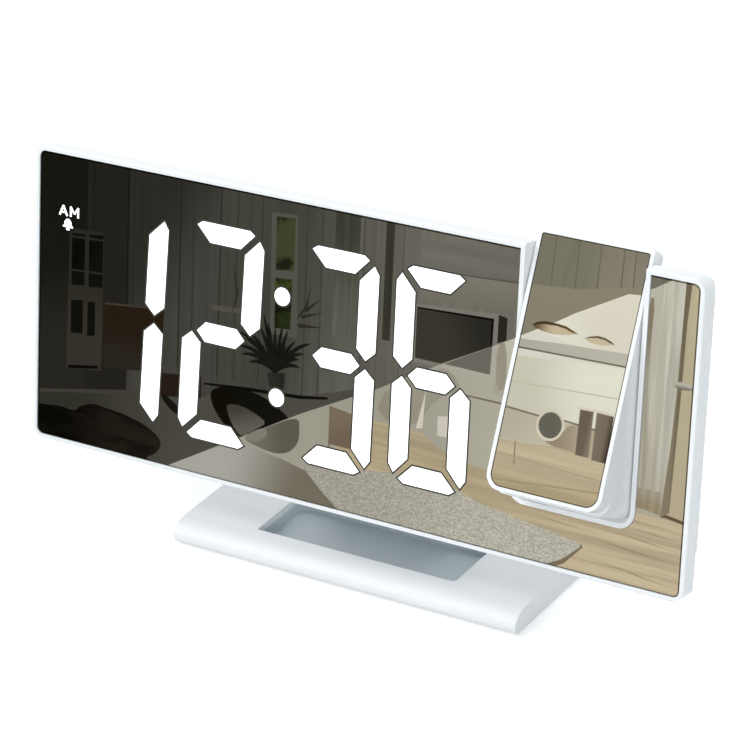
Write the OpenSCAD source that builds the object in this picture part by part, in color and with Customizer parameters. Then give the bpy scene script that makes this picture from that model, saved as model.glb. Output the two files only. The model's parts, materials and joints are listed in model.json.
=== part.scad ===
// Mirror-faced projection alarm clock on a flat stand.
// Frame: X across the clock, Y from front to back, Z up, origin on the table under the middle of the base.
// Body pieces are drawn square to the leaning body: x across, y behind the mirror's face,
// z up from the mirror's lower edge. in_body() leans them back, in_head() also swings the projector head.

/* [Mirror panel] */
// Width of the mirror panel
mirror_w = 186; // [180:1:196]
// Height of the mirror panel
mirror_h = 74; // [72:0.5:80]
// Thickness of the mirror panel
mirror_t = 1.8; // [1.5:0.1:2]
// Thickness of the black bonding tape behind the panel
tape_t = 0.3; // [0.2:0.05:0.4]
// Corner radius of the mirror panel
mirror_r = 1.8; // [1:0.1:3]
// Lean of the body back from upright, in degrees
lean = 12.5; // [10:0.5:14]

/* [Front frame] */
// White border seen around the mirror
bezel = 1.25; // [1:0.05:1.6]
// Height of the border above the mirror's face
bezel_proud = 0.3; // [0.1:0.05:0.5]
// Depth of the frame behind the mirror's face
rim_depth = 5.4; // [5.2:0.1:6]
// Corner radius of the frame
frame_r = 3.5; // [3:0.1:4.5]
// Width of the ledge that the panel is bonded to
ledge_w = 2; // [1.6:0.1:2.4]
// Thickness of the flange that the rear housing seats on
flange_t = 1.5; // [1.3:0.1:1.6]

/* [Rear housing] */
// Depth from the mirror's face to the back of the housing
body_depth = 18; // [17.6:0.1:19]
// Wall of the rear housing
wall = 1.8; // [1.6:0.1:2]
// Step from the frame's side to the housing's side
side_inset = 5.5; // [5.2:0.1:5.8]
// Step from the frame's underside up to the housing
bottom_inset = 4.75; // [4.5:0.05:5]
// Step from the frame's top down to the housing
top_inset = 5.3; // [5.1:0.1:5.6]
// Rounding of the housing's back edges
back_r = 3; // [2:0.1:3.5]

/* [Projector notch] */
// Middle of the notch across the body
notch_x = 63.5; // [62.5:0.5:64]
// Width of the notch between its walls
notch_w = 31.4; // [31:0.1:32]
// Height of the notch's floor above the mirror's lower edge
notch_floor = 14.25; // [14:0.05:15]
// Corner radius of the notch
notch_r = 3.2; // [2.5:0.1:4]

/* [Projector head] */
// Gap on each side between head and notch
head_gap = 0.6; // [0.55:0.05:0.7]
// Height of the head's front
head_h = 60.9; // [59:0.1:62]
// Depth of the head
head_depth = 17; // [16.6:0.1:17.2]
// Depth of the head's front cover
head_front_t = 4.6; // [4.4:0.1:4.8]
// Wall of the head's shells
head_wall = 1.4; // [1.2:0.1:1.6]
// White border around the head's mirror
head_border = 1; // [0.8:0.05:1.2]
// Thickness of the head's mirror
head_mirror_t = 1.4; // [1:0.1:1.4]
// Lower corner radius of the head
head_r = 4; // [3:0.1:4.5]
// Hinge axis behind the mirror's face
hinge_y = 8; // [7.6:0.1:8.4]
// Running gap under the swinging head
head_clear = 0.7; // [0.6:0.05:1]
// Swing of the head in the pose modelled, in degrees from closed
head_swing = 18.1; // [5:0.1:60]
// Depth of the lens deck below the top of the head
deck_drop = 6.5; // [6.2:0.1:7]

/* [Hinge] */
// Diameter of the hinge pins
pin_d = 3; // [2.6:0.1:3.2]
// Running clearance around each pin, on the radius
pin_clear = 0.05; // [0.02:0.01:0.08]
// Length of each pin inside the head
pin_reach = 4; // [3.5:0.1:4.4]
// Thickness of the friction washers
washer_t = 0.5; // [0.4:0.05:0.5]
// Diameter of the friction washers
washer_d = 7.6; // [6.8:0.1:8]
// Diameter of the lead through the hollow pin
lead_d = 1.2; // [0.8:0.1:1.4]

/* [Lens] */
// Bore of the lens tube
tube_bore = 8; // [7.6:0.1:8]
// Wall of the lens tube
tube_wall = 0.7; // [0.6:0.05:0.75]
// Outer diameter of the focus ring
ring_d = 11.8; // [11.2:0.1:12]
// Height of the focus ring
ring_h = 3.6; // [3:0.1:4]
// Number of grip ribs on the focus ring
ring_ribs = 24; // [16:1:32]
// Lens travel each way from the middle
focus_travel = 0.8; // [0.4:0.1:0.9]

/* [Display] */
// Middle of the digits across the body
digits_x = -21.2; // [-22:0.1:-20]
// Bottom of the digits above the mirror's lower edge
digits_z = 9; // [8.5:0.1:9.5]
// Width of a digit
digit_w = 22.6; // [22:0.1:23.6]
// Height of a digit
digit_h = 54.8; // [53:0.1:55.5]
// Distance between digits of a pair
digit_pitch = 27.8; // [27:0.1:28]
// Extra distance between the pairs, for the colon
colon_space = 6.1; // [5.5:0.1:6.5]
// Height of the lying strokes
lying_stroke = 5; // [4.6:0.1:5.6]
// Width of the standing strokes
standing_stroke = 5.5; // [5:0.1:6]
// Diameter of the colon dots
colon_d = 4.6; // [4:0.1:5]
// Distance from the middle of the digits to each colon dot
colon_half = 12.8; // [11:0.1:14]
// Thickness of the light blocks
light_t = 2; // [1.6:0.1:2.4]

/* [Boards] */
// Thickness of the circuit boards
board_t = 1.6; // [1.2:0.1:1.6]
// Diameter of the coin cell
cell_d = 20; // [19.6:0.1:20]
// Thickness of the coin cell
cell_t = 3.2; // [2.8:0.1:3.2]

/* [Buttons] */
// Diameter of the back buttons
button_d = 6.4; // [5.6:0.1:7]
// Distance between back buttons
button_pitch = 13; // [12:0.1:13.5]
// Height of the button row above the mirror's lower edge
button_z = 56.6; // [56:0.1:56.8]
// How far the buttons stand out
button_proud = 1; // [0.6:0.1:1.4]
// Travel of the back buttons
button_travel = 0.5; // [0.3:0.05:0.6]
// Width of the snooze bar
snooze_w = 40; // [34:1:42]
// Height of the snooze bar above the housing
snooze_proud = 1.2; // [0.8:0.1:1.3]
// Travel of the snooze bar
snooze_travel = 0.8; // [0.5:0.1:0.9]

/* [Stand] */
// Width of the base
base_w = 100; // [96:1:112]
// Depth of the base
base_d = 42; // [42:1:50]
// Thickness of the base
base_t = 5.5; // [5.2:0.1:6.5]
// Reach of the rounded nose along the base
nose_run = 5.9; // [4.5:0.1:6]
// Height of the rounded nose
nose_rise = 3.8; // [3:0.1:4.2]
// Width of the recess in the base
tray_w = 58; // [50:1:64]
// Length of the recess from front to back
tray_l = 19.8; // [16:0.1:20]
// Depth of the recess
tray_depth = 4.7; // [3.5:0.1:4.7]
// Base front to the recess
tray_setback = 7.3; // [7:0.1:8]
// Width of the stand's neck
neck_w = 36; // [32:1:44]
// Thickness of the neck where it meets the housing
neck_t = 3.5; // [3:0.1:4.5]
// How far the feet stand out below the base
foot_proud = 0.5; // [0.4:0.1:0.9]
// Diameter of the rubber feet
foot_d = 8; // [7:0.1:9]

/* [Hidden] */
$fn = 48;
e = 0.01;

// Stand levels, in the clock's own frame
base_top = foot_proud + base_t;
base_front = -base_d / 2;
base_wall = 1.6;
top_wall = 1.5;
cover_t = 1.2;
tray_wall = 1.2;
tray_y = base_front + tray_setback;
fit_gap = 0.2;
pad_w = 30;
pad_l = 9;

// Place of the leaning body: its lower front edge stands this far behind the base's front and above the table
body_y = base_front + 2.95;
body_z = base_top + 15.05;

// Levels behind the mirror's face
seat_y = mirror_t + tape_t;
flange_y = rim_depth - flange_t;
mask_y = mirror_t + 0.2;
led_y = 6.5;
led_back = led_y + board_t;
back_inner = body_depth - wall;
main_back = back_inner - 4;
main_y = main_back - board_t;

// Outline of the rear housing
house_x = mirror_w / 2 + bezel - side_inset;
house_z0 = bottom_inset - bezel;
house_z1 = mirror_h + bezel - top_inset;
flange_in = 6.4;
ledge_clear = 0.15;

// Screw places, as [x, z] in the body
post_x = mirror_w / 2 - 9.3;
posts = [[-post_x, 9], [-post_x, mirror_h - 9], [post_x, 9], [post_x, mirror_h - 9],
    [notch_x - notch_w / 2 - 6.3, mirror_h - 9], [notch_x, house_z0 + 5.5]];
post_r = 3;

// Self-tapping screws
screw_r = 1.1;
pilot_r = 0.9;
small_r = 0.7;
head_hole_r = 2.3;
screw_head_r = 2.1;
screw_head_t = 1.3;
post_seat = body_depth - 5;

// Projector head
head_w = notch_w - 2 * head_gap;
head_x0 = notch_x - head_w / 2;
head_x1 = notch_x + head_w / 2;
hinge_drop = 13.7;
head_top = notch_floor + 1.45 + head_h;
head_bottom = head_top - head_h;
hinge_z = head_top - hinge_drop;
swing_r = hinge_z - notch_floor - head_clear;
deck_z = head_top - deck_drop;
lens_y = head_front_t + (head_depth - head_front_t) / 2;
tube_r = tube_bore / 2 + tube_wall;
tube_top = deck_z + 3.8;
tunnel_r = tube_r + 0.9;
tunnel_top = deck_z - head_wall - 1.5;
tunnel_z = tunnel_top - 24;
boss_r = 3.5;
pin_end = notch_w / 2 + wall + 1;
head_plate_y = head_mirror_t + 0.1 + 1.2;
head_posts = [[head_x0 + 5.1, head_bottom + 6], [head_x1 - 5.1, head_bottom + 6],
    [head_x0 + 4.4, hinge_z - 8], [head_x1 - 4.4, hinge_z - 8]];
head_post_r = 2.6;
head_seat = head_depth - 3;

// Digits
digit_x = [for (s = [-1, 1], p = [-0.5, 0.5]) digits_x + s * (digit_pitch + colon_space / 2) + p * digit_pitch];
digit_mid = digits_z + digit_h / 2;
block_x0 = digit_x[0] - digit_w / 2 - 1.8;
block_x1 = digit_x[3] + digit_w / 2 + 1.9;
block_z0 = digits_z - 1.8;
block_z1 = digits_z + digit_h + 1.8;
mark_x0 = -mirror_w / 2 + 4;
mark_w = 7.2;
mark_z0 = digits_z + digit_h - 11.2;
mark_h = 9.4;
mark_proud = 0.6;
mask_screw_x = [(digit_x[0] + digit_x[1]) / 2, (digit_x[2] + digit_x[3]) / 2];
mask_screw_z = [digits_z + 3, digits_z + digit_h - 2.8];

// Main board and what it carries
board_x0 = -50;
board_x1 = 38;
board_z0 = house_z0 + wall + 4.7;
board_z1 = button_z + 6.4;
standoffs = [[-46, board_z0 + 4], [-46, board_z1 - 4], [34, board_z1 - 4], [20, board_z0 + 4]];
button_x = [for (i = [0:4]) -38 + i * button_pitch];
flange_gap = 0.1;
button_flange = 0.6;
button_seat = back_inner - flange_gap - button_flange;
chip_w = 12;
chip_t = 1.4;
switch_side = 6;
switch_t = 2.1;
snooze_x = -25;
snooze_y = (led_back + back_inner) / 2;
snooze_l = 5.6;
snooze_flange_t = 1;
snooze_low = house_z1 - wall - flange_gap - snooze_flange_t;
usb_x = 33;
usb_z = board_z0 + 6;
usb_w = 9;
usb_h = 3.2;
usb_wall = 0.35;
lead_z = 50;
buzzer_x = 24;
buzzer_z = 36;
buzzer_r = 6;
vent_x = -33;
vent_z = 16;

// Battery tray and door
cell_x = -house_x + 16.75;
cell_z = 34;
tray_r = cell_d / 2 + 0.4;
tray_out = tray_r + 1.2;
cell_y = back_inner - 0.6 - cell_t;
door_half = cell_d / 2 + 1.9;
door_lip = 1.1;
lip_t = 0.8;
door_clear = 0.15;
door_end = cell_x + tray_out + 1;

// Neck of the stand
neck_y0 = tray_y + tray_l + 1.4;
neck_y1 = neck_y0 + 10;
neck_z0 = house_z0 + back_r;
neck_z1 = neck_z0 + 19.5;
neck_screw_x = 10;
neck_screw_z = neck_z0 + 11.5;

function lean_y(y, z) = body_y + y * cos(lean) + z * sin(lean);
function lean_z(y, z) = body_z - y * sin(lean) + z * cos(lean);

module in_body() translate([0, body_y, body_z]) rotate([-lean, 0, 0]) children();

module in_head() in_body()
    translate([0, hinge_y, hinge_z]) rotate([-head_swing, 0, 0]) translate([0, -hinge_y, -hinge_z]) children();

// Drawing helpers: a flat outline is (x, z) for along_y, (y, z) for along_x and (x, y) for along_z
module along_y(y0, y1) translate([0, y1, 0]) rotate([90, 0, 0]) linear_extrude(y1 - y0) children();
module along_x(x0, x1) translate([x0, 0, 0]) rotate([90, 0, 90]) linear_extrude(x1 - x0) children();
module along_z(z0, z1) translate([0, 0, z0]) linear_extrude(z1 - z0) children();
module peg_y(x, z, y0, y1, r) translate([x, y1, z]) rotate([90, 0, 0]) cylinder(h = y1 - y0, r = r);
module peg_x(y, z, x0, x1, r) translate([x0, y, z]) rotate([0, 90, 0]) cylinder(h = x1 - x0, r = r);
module block(p, q) translate(p) cube(q - p);

module corner_cut(x, y, dx, dy, r) {
    translate([x, y]) difference() {
        translate([dx > 0 ? -e : -r, dy > 0 ? -e : -r]) square(r + e);
        translate([dx * r, dy * r]) circle(r);
    }
}

// Rectangle from p to q with its corners rounded: lower left, lower right, upper right, upper left
module soft_rect(p, q, r) {
    difference() {
        translate(p) square(q - p);
        if (r[0] > 0) corner_cut(p[0], p[1], 1, 1, r[0]);
        if (r[1] > 0) corner_cut(q[0], p[1], -1, 1, r[1]);
        if (r[2] > 0) corner_cut(q[0], q[1], -1, -1, r[2]);
        if (r[3] > 0) corner_cut(p[0], q[1], 1, -1, r[3]);
    }
}

// The notch, open at the top, widened all round by grow
module notch_shape(grow) {
    soft_rect([notch_x - notch_w / 2 - grow, notch_floor - grow],
        [notch_x + notch_w / 2 + grow, mirror_h + 20], [notch_r + grow, notch_r + grow, 0, 0]);
}

// The panel's outline with its notch, moved out by grow
module panel_shape(grow, r) {
    difference() {
        soft_rect([-mirror_w / 2 - grow, -grow], [mirror_w / 2 + grow, mirror_h + grow], [r, r, r, r]);
        notch_shape(bezel - grow);
    }
}

module screw(x, z, seat, tip) {
    difference() {
        union() {
            peg_y(x, z, tip, seat + e, screw_r - 0.05);
            peg_y(x, z, seat, seat + screw_head_t, screw_head_r);
        }
        translate([x, seat + screw_head_t, z]) cross_slot();
    }
}

module cross_slot() for (a = [0, 90]) rotate([0, a, 0]) cube([2.6, 1.2, 0.5], center = true);

// Stand

function quarter(y, z, ry, rz, a, n) = [for (i = [0:n]) [y + ry * cos(a - i * 90 / n), z + rz * sin(a - i * 90 / n)]];

module base_profile() {
    under = base_top - nose_rise - foot_proud;
    difference() {
        polygon(concat(quarter(base_front + under, base_top - nose_rise, under, under, 270, 6),
            quarter(base_front + nose_run, base_top - nose_rise, nose_run, nose_rise, 180, 16),
            [[base_d / 2, base_top], [base_d / 2, foot_proud]]));
        corner_cut(base_d / 2, base_top, -1, -1, 2.5);
    }
}

module base_post_places() for (x = [-1, 1], y = [tray_y + 10.7, base_d / 2 - 13.5])
    translate([x * (base_w / 2 - 6), y, 0]) children();

module base_shell() {
    color("white") difference() {
        union() {
            difference() {
                along_x(-base_w / 2, base_w / 2) base_profile();
                difference() {
                    block([-base_w / 2 + base_wall, tray_y - tray_wall, -e],
                        [base_w / 2 - base_wall, base_d / 2 - base_wall, base_top - top_wall]);
                    block([-tray_w / 2 - tray_wall, tray_y - tray_wall - 1, foot_proud],
                        [tray_w / 2 + tray_wall, tray_y + tray_l + tray_wall, base_top]);
                }
                along_z(base_top - tray_depth, base_top + 1)
                    soft_rect([-tray_w / 2, tray_y], [tray_w / 2, tray_y + tray_l], [0.6, 1.2, 2.5, 2.5]);
            }
            base_post_places() translate([0, 0, foot_proud + cover_t])
                cylinder(h = base_top - foot_proud - cover_t - 0.5, r = 2.6);
        }
        base_post_places() cylinder(h = base_top - 1.2, r = pilot_r);
        for (x = [-1, 1]) translate([x * neck_screw_x, (neck_y0 + neck_y1) / 2, 0])
            cylinder(h = base_top + 1, r = screw_r + 0.1);
    }
}

module base_cover() {
    color("whitesmoke") difference() {
        block([-base_w / 2 + base_wall + fit_gap, tray_y - tray_wall + fit_gap, foot_proud],
            [base_w / 2 - base_wall - fit_gap, base_d / 2 - base_wall - fit_gap, foot_proud + cover_t]);
        block([-tray_w / 2 - tray_wall - fit_gap, tray_y - tray_wall - 1, 0],
            [tray_w / 2 + tray_wall + fit_gap, tray_y + tray_l + tray_wall + fit_gap, base_top]);
        base_post_places() cylinder(h = base_top, r = screw_r + 0.1);
        base_post_places() cylinder(h = foot_proud + 0.6, r = screw_head_r + 0.1);
        foot_places() cylinder(h = foot_proud + 0.5, r = foot_d / 2);
    }
}

module foot_places() for (x = [-1, 1], y = [tray_y + foot_d / 2 - 0.4, base_d / 2 - base_wall - foot_d / 2 - 0.8])
    translate([x * (tray_w / 2 + tray_wall + foot_d / 2 + 2.7), y, 0]) children();

// Four round feet and a pad stuck under the recess
module base_feet() {
    color("dimgray") {
        foot_places() cylinder(h = foot_proud + 0.5, r = foot_d / 2);
        along_z(0, foot_proud) soft_rect([-pad_w / 2, -pad_l / 2], [pad_w / 2, pad_l / 2], [2, 2, 2, 2]);
    }
}

module base_screws() {
    color("silver") base_post_places() difference() {
        union() {
            translate([0, 0, foot_proud + 0.05]) cylinder(h = 0.55, r = screw_head_r);
            translate([0, 0, foot_proud + 0.1]) cylinder(h = base_top - foot_proud - 1.8, r = pilot_r);
        }
        translate([0, 0, foot_proud]) rotate([90, 0, 0]) cross_slot();
    }
}

module stand_neck() {
    y = body_depth;
    color("white") difference() {
        along_x(-neck_w / 2, neck_w / 2) polygon([[neck_y0, base_top], [lean_y(y, neck_z0), lean_z(y, neck_z0)],
            [lean_y(y, neck_z1), lean_z(y, neck_z1)], [lean_y(y + neck_t, neck_z1), lean_z(y + neck_t, neck_z1)],
            [lean_y(y + neck_t, neck_z0 + 5), lean_z(y + neck_t, neck_z0 + 5)], [neck_y1, base_top + 4], [neck_y1, base_top]]);
        in_body() for (x = [-1, 1]) {
            peg_y(x * neck_screw_x, neck_screw_z, y - 1, y + 9, screw_r + 0.1);
            peg_y(x * neck_screw_x, neck_screw_z, y + neck_t - 1.4, y + 9, head_hole_r);
        }
        for (x = [-1, 1]) translate([x * neck_screw_x, (neck_y0 + neck_y1) / 2, base_top - 1]) cylinder(h = 8, r = pilot_r);
    }
}

module neck_screws() {
    color("silver") {
        in_body() for (x = [-1, 1])
            screw(x * neck_screw_x, neck_screw_z, body_depth + neck_t - 1.4, main_back + 0.8);
        for (x = [-1, 1]) translate([x * neck_screw_x, (neck_y0 + neck_y1) / 2, base_top - top_wall]) difference() {
            union() {
                translate([0, 0, -1]) cylinder(h = 1, r = screw_head_r);
                translate([0, 0, -e]) cylinder(h = 7.8, r = pilot_r);
            }
            translate([0, 0, -1]) rotate([90, 0, 0]) cross_slot();
        }
    }
}

// Body shells

module front_frame() {
    color("white") in_body() difference() {
        union() {
            difference() {
                intersection() {
                    along_y(-bezel_proud, rim_depth) difference() {
                        soft_rect([-mirror_w / 2 - bezel, -bezel], [mirror_w / 2 + bezel, mirror_h + bezel],
                            [frame_r, frame_r, frame_r, frame_r]);
                        notch_shape(0);
                    }
                    along_x(-mirror_w, mirror_w) soft_rect([-bezel_proud, -bezel], [rim_depth, mirror_h + bezel],
                        [0.5, 1.6, 1.6, 0.5]);
                    along_z(-mirror_h, 2 * mirror_h) soft_rect([-mirror_w / 2 - bezel, -bezel_proud],
                        [mirror_w / 2 + bezel, rim_depth], [0.5, 0.5, 1.6, 1.6]);
                }
                along_y(-2, seat_y) panel_shape(0.1, mirror_r);
                along_y(seat_y - e, flange_y) panel_shape(-ledge_w, mirror_r);
                along_y(flange_y - e, rim_depth + 1) difference() {
                    panel_shape(-flange_in, 2);
                    translate([notch_x - notch_w / 2 - 9, 0]) square([notch_w + 18, notch_floor]);
                    for (p = posts) translate(p - [4.5, 4.5]) square(9);
                }
            }
            for (p = posts) peg_y(p[0], p[1], seat_y + 0.2, flange_y + e, post_r);
        }
        for (p = posts) peg_y(p[0], p[1], seat_y + 0.5, rim_depth + 1, pilot_r);
    }
}

module house_solid() {
    intersection() {
        along_y(rim_depth, body_depth) soft_rect([-house_x, house_z0], [house_x, house_z1], [4, 4, 4, 4]);
        along_x(-mirror_w, mirror_w) soft_rect([0, house_z0], [body_depth, house_z1], [0, back_r, back_r, 0]);
        along_z(-mirror_h, 2 * mirror_h) soft_rect([-house_x, 0], [house_x, body_depth], [0, 0, back_r, back_r]);
    }
}

module rear_housing() {
    color("white") in_body() difference() {
        union() {
            difference() {
                house_solid();
                along_y(rim_depth - e, back_inner) difference() {
                    soft_rect([-house_x + wall, house_z0 + wall], [house_x - wall, house_z1 - wall], [2, 2, 2, 2]);
                    notch_shape(wall);
                }
            }
            for (p = posts) peg_y(p[0], p[1], rim_depth, back_inner + e, post_r);
            for (p = standoffs) peg_y(p[0], p[1], main_back, back_inner + e, 2.4);
            for (x = [-1, 1]) peg_y(x * neck_screw_x, neck_screw_z, main_back + 0.3, back_inner + e, post_r);
            cell_tray();
            for (s = [-1, 1]) peg_x(hinge_y, hinge_z, notch_x + s * (pin_end - 1) - 1, notch_x + s * (pin_end - 1) + 1, pin_d / 2 + 1.4);
        }
        along_y(rim_depth - 1, body_depth + 1) notch_shape(0);
        for (p = posts) {
            peg_y(p[0], p[1], rim_depth - 1, body_depth + 1, screw_r + 0.1);
            peg_y(p[0], p[1], post_seat, body_depth + 1, head_hole_r);
        }
        for (p = standoffs) peg_y(p[0], p[1], main_back - 1, body_depth - 1, small_r - 0.05);
        for (x = [-1, 1]) peg_y(x * neck_screw_x, neck_screw_z, main_back - 1, body_depth + 1, pilot_r);
        for (s = [-1, 1]) peg_x(hinge_y, hinge_z, notch_x + s * pin_end - 4, notch_x + s * pin_end + 4, pin_d / 2);
        door_channel();
        for (x = button_x) peg_y(x, button_z, back_inner - 1, body_depth + 1, button_d / 2 + door_clear);
        along_z(house_z1 - wall - 1, house_z1 + 1) soft_rect([snooze_x - snooze_w / 2 - fit_gap, snooze_y - snooze_l / 2 - fit_gap],
            [snooze_x + snooze_w / 2 + fit_gap, snooze_y + snooze_l / 2 + fit_gap], [1.2, 1.2, 1.2, 1.2]);
        along_y(back_inner - 1, body_depth + 1) usb_outline(fit_gap);
        sound_holes();
        for (i = [0:4]) block([vent_x - 10, back_inner - 1, vent_z + i * 3.2], [vent_x + 10, body_depth + 1, vent_z + i * 3.2 + 1.4]);
    }
}

// Walled floor behind the door, with a ring round the cell
module cell_tray() {
    out = door_half + door_lip + door_clear + 1.3;
    difference() {
        block([-house_x + wall - e, cell_y - 1.4, cell_z - out], [door_end + 1.4, back_inner + e, cell_z + out]);
        difference() {
            block([-house_x + wall - 1, cell_y - 0.3, cell_z - out + 1.2], [door_end + 0.2, back_inner + 1, cell_z + out - 1.2]);
            peg_y(cell_x, cell_z, cell_y - 1, back_inner + 2, tray_out);
        }
        peg_y(cell_x, cell_z, cell_y - 0.3, back_inner + 1, tray_r);
    }
}

module sound_holes() {
    peg_y(buzzer_x, buzzer_z, back_inner - 1, body_depth + 1, 0.7);
    for (a = [0:60:300]) peg_y(buzzer_x + 3 * cos(a), buzzer_z + 3 * sin(a), back_inner - 1, body_depth + 1, 0.7);
}

module usb_outline(grow) {
    r = usb_h / 2 + grow;
    translate([usb_x, usb_z]) {
        square([usb_w - usb_h, 2 * r], center = true);
        for (s = [-1, 1]) translate([s * (usb_w - usb_h) / 2, 0]) circle(r);
    }
}

// Room for the door, its lips and their way out of the housing's side
module door_channel() {
    block([-house_x - 1, back_inner - 0.1, cell_z - door_half - door_clear],
        [door_end + door_clear, body_depth + 1, cell_z + door_half + door_clear]);
    block([-house_x - 1, back_inner - lip_t - 0.2, cell_z - door_half - door_lip - door_clear],
        [door_end - 0.4, back_inner, cell_z + door_half + door_lip + door_clear]);
}

module battery_door() {
    color("white") in_body() {
        intersection() {
            house_solid();
            union() {
                block([-house_x - 1, back_inner - 0.05, cell_z - door_half], [door_end, body_depth + 1, cell_z + door_half]);
                for (s = [-1, 1]) {
                    z = cell_z + s * door_half;
                    block([-house_x - 1, back_inner - lip_t - 0.05, min(z - s * 0.9, z + s * door_lip)],
                        [door_end - 0.8, back_inner - 0.05, max(z - s * 0.9, z + s * door_lip)]);
                }
            }
        }
        for (i = [0:3]) block([cell_x - 8 + i * 2, body_depth - 0.1, cell_z - 5], [cell_x - 7.2 + i * 2, body_depth + 0.3, cell_z + 5]);
    }
}

module housing_screws() color("silver") in_body() for (p = posts) screw(p[0], p[1], post_seat, seat_y + 0.7);

// Mirror and display stack

module mirror_panel() color([0.16, 0.15, 0.14]) in_body() along_y(0, mirror_t) panel_shape(0, mirror_r);

module panel_tape() {
    color([0.05, 0.05, 0.05]) in_body() along_y(mirror_t, seat_y) difference() {
        panel_shape(-0.1, mirror_r);
        panel_shape(-ledge_w, mirror_r);
    }
}

// Strokes of a digit as outlines, in a box digit_w wide and digit_h high. Mirroring about the middle gives the rest.
function lie_top() = let (w = digit_w, h = digit_h, s = lying_stroke)
    [[2.9, h - 1], [4.4, h], [w - 4.4, h], [w - 2.9, h - 1], [w - 1.9 - s, h - s], [1.9 + s, h - s]];
function lie_mid() = let (w = digit_w, m = digit_h / 2, s = lying_stroke / 2)
    [[5.4, m], [5.4 + s, m + s], [w - 5.4 - s, m + s], [w - 5.4, m], [w - 5.4 - s, m - s], [5.4 + s, m - s]];
function stand_up() = let (w = digit_w, h = digit_h, m = h / 2, u = standing_stroke)
    [[w - 1.5, h - 2.1], [w, h - 3.9], [w, m + 4.2], [w - u / 2, m + 1.5], [w - u, m + 4.2], [w - u, h - u - 0.6]];
function turn_x(p) = [for (q = p) [digit_w - q[0], q[1]]];
function turn_z(p) = [for (q = p) [q[0], digit_h - q[1]]];
strokes = [lie_top(), stand_up(), turn_z(stand_up()), turn_z(lie_top()), turn_z(turn_x(stand_up())), turn_x(stand_up()), lie_mid()];
function middle(p) = [for (k = [0, 1]) (max([for (q = p) q[k]]) + min([for (q = p) q[k]])) / 2];

module stroke_shapes() for (p = strokes) polygon(p);

module digit_at(i) translate([digit_x[i] - digit_w / 2, digits_z]) children();

module digit_segments(i) color("white") in_body() along_y(mask_y, mask_y + light_t) digit_at(i) stroke_shapes();

module hour_tens_segments() digit_segments(0);
module hour_units_segments() digit_segments(1);
module minute_tens_segments() digit_segments(2);
module minute_units_segments() digit_segments(3);

module colon_dots() color("white") in_body()
    for (s = [-1, 1]) peg_y(digits_x, digit_mid + s * colon_half, mask_y, mask_y + light_t, colon_d / 2);

module line_shape(p, q, w) {
    d = q - p;
    translate(p) rotate(atan2(d[1], d[0])) translate([0, -w / 2]) square([norm(d), w]);
}

// AM mark over a small bell
module mark_shapes() {
    line_shape([0, 0], [1.2, 2.8], 0.5);
    line_shape([1.1, 2.8], [2.3, 0], 0.5);
    line_shape([0.5, 0.9], [1.8, 0.9], 0.4);
    line_shape([3.2, 0], [3.2, 2.8], 0.5);
    line_shape([5.6, 0], [5.6, 2.8], 0.5);
    line_shape([3.2, 2.8], [4.4, 1], 0.5);
    line_shape([4.4, 1], [5.6, 2.8], 0.5);
    translate([2.8, -2.4]) circle(1.3);
    translate([1.5, -4.3]) square([2.6, 2]);
    translate([0.9, -4.5]) square([3.8, 0.6]);
    translate([2.2, -5.5]) square([1.2, 0.6]);
}

module indicator_marks() {
    color("white") in_body() {
        along_y(mask_y + mark_proud, flange_y) translate([mark_x0 + 0.1, mark_z0 + 0.1]) square([mark_w - 0.2, mark_h - 0.2]);
        along_y(mask_y, mask_y + mark_proud + e) translate([mark_x0 + 0.8, mark_z0 + mark_h - 3.2]) mark_shapes();
    }
}

module segment_mask() {
    color([0.06, 0.06, 0.06]) in_body() difference() {
        union() {
            along_y(mask_y, flange_y) panel_shape(-ledge_w - ledge_clear, mirror_r);
            block([block_x0, flange_y - e, block_z0], [block_x1, led_y - 0.1, block_z1]);
        }
        along_y(mask_y - 1, led_y + 1) {
            for (i = [0:3]) digit_at(i) stroke_shapes();
            for (s = [-1, 1]) translate([digits_x, digit_mid + s * colon_half]) circle(colon_d / 2);
        }
        block([mark_x0, mask_y - 1, mark_z0], [mark_x0 + mark_w, flange_y + 1, mark_z0 + mark_h]);
        for (p = posts) peg_y(p[0], p[1], 0, led_y + 1, post_r + 0.3);
        for (x = mask_screw_x, z = mask_screw_z) peg_y(x, z, flange_y - 1, led_y + 1, small_r - 0.05);
    }
}

module led_board() {
    color("darkgreen") in_body() difference() {
        union() {
            block([block_x0 - 1.6, led_y, block_z0 - 0.4], [block_x1 + 1.2, led_back, block_z1 + 1.4]);
            block([-house_x + wall + 1, led_y, mark_z0 - 1], [block_x0, led_back, mark_z0 + mark_h - 1.6]);
        }
        for (x = mask_screw_x, z = mask_screw_z) peg_y(x, z, led_y - 1, led_back + 1, screw_r);
    }
}

module segment_leds() {
    color("lightyellow") in_body() {
        for (i = [0:3], p = strokes) let (c = middle(p))
            block([digit_x[i] - digit_w / 2 + c[0] - 1, led_y - 0.6, digits_z + c[1] - 0.6],
                [digit_x[i] - digit_w / 2 + c[0] + 1, led_y, digits_z + c[1] + 0.6]);
        for (s = [-1, 1]) block([digits_x - 1, led_y - 0.6, digit_mid + s * colon_half - 0.6],
            [digits_x + 1, led_y, digit_mid + s * colon_half + 0.6]);
        block([mark_x0 + 3, led_y - 0.6, mark_z0 + 4], [mark_x0 + 5, led_y, mark_z0 + 5.2]);
    }
}

module small_screw(x, z, seat, tip) {
    peg_y(x, z, min(seat, tip), max(seat, tip), small_r);
    peg_y(x, z, min(seat, seat + sign(seat - tip)), max(seat, seat + sign(seat - tip)), 1.5);
}

module led_board_screws() color("silver") in_body()
    for (x = mask_screw_x, z = mask_screw_z) small_screw(x, z, led_back, flange_y - 0.6);

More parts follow.
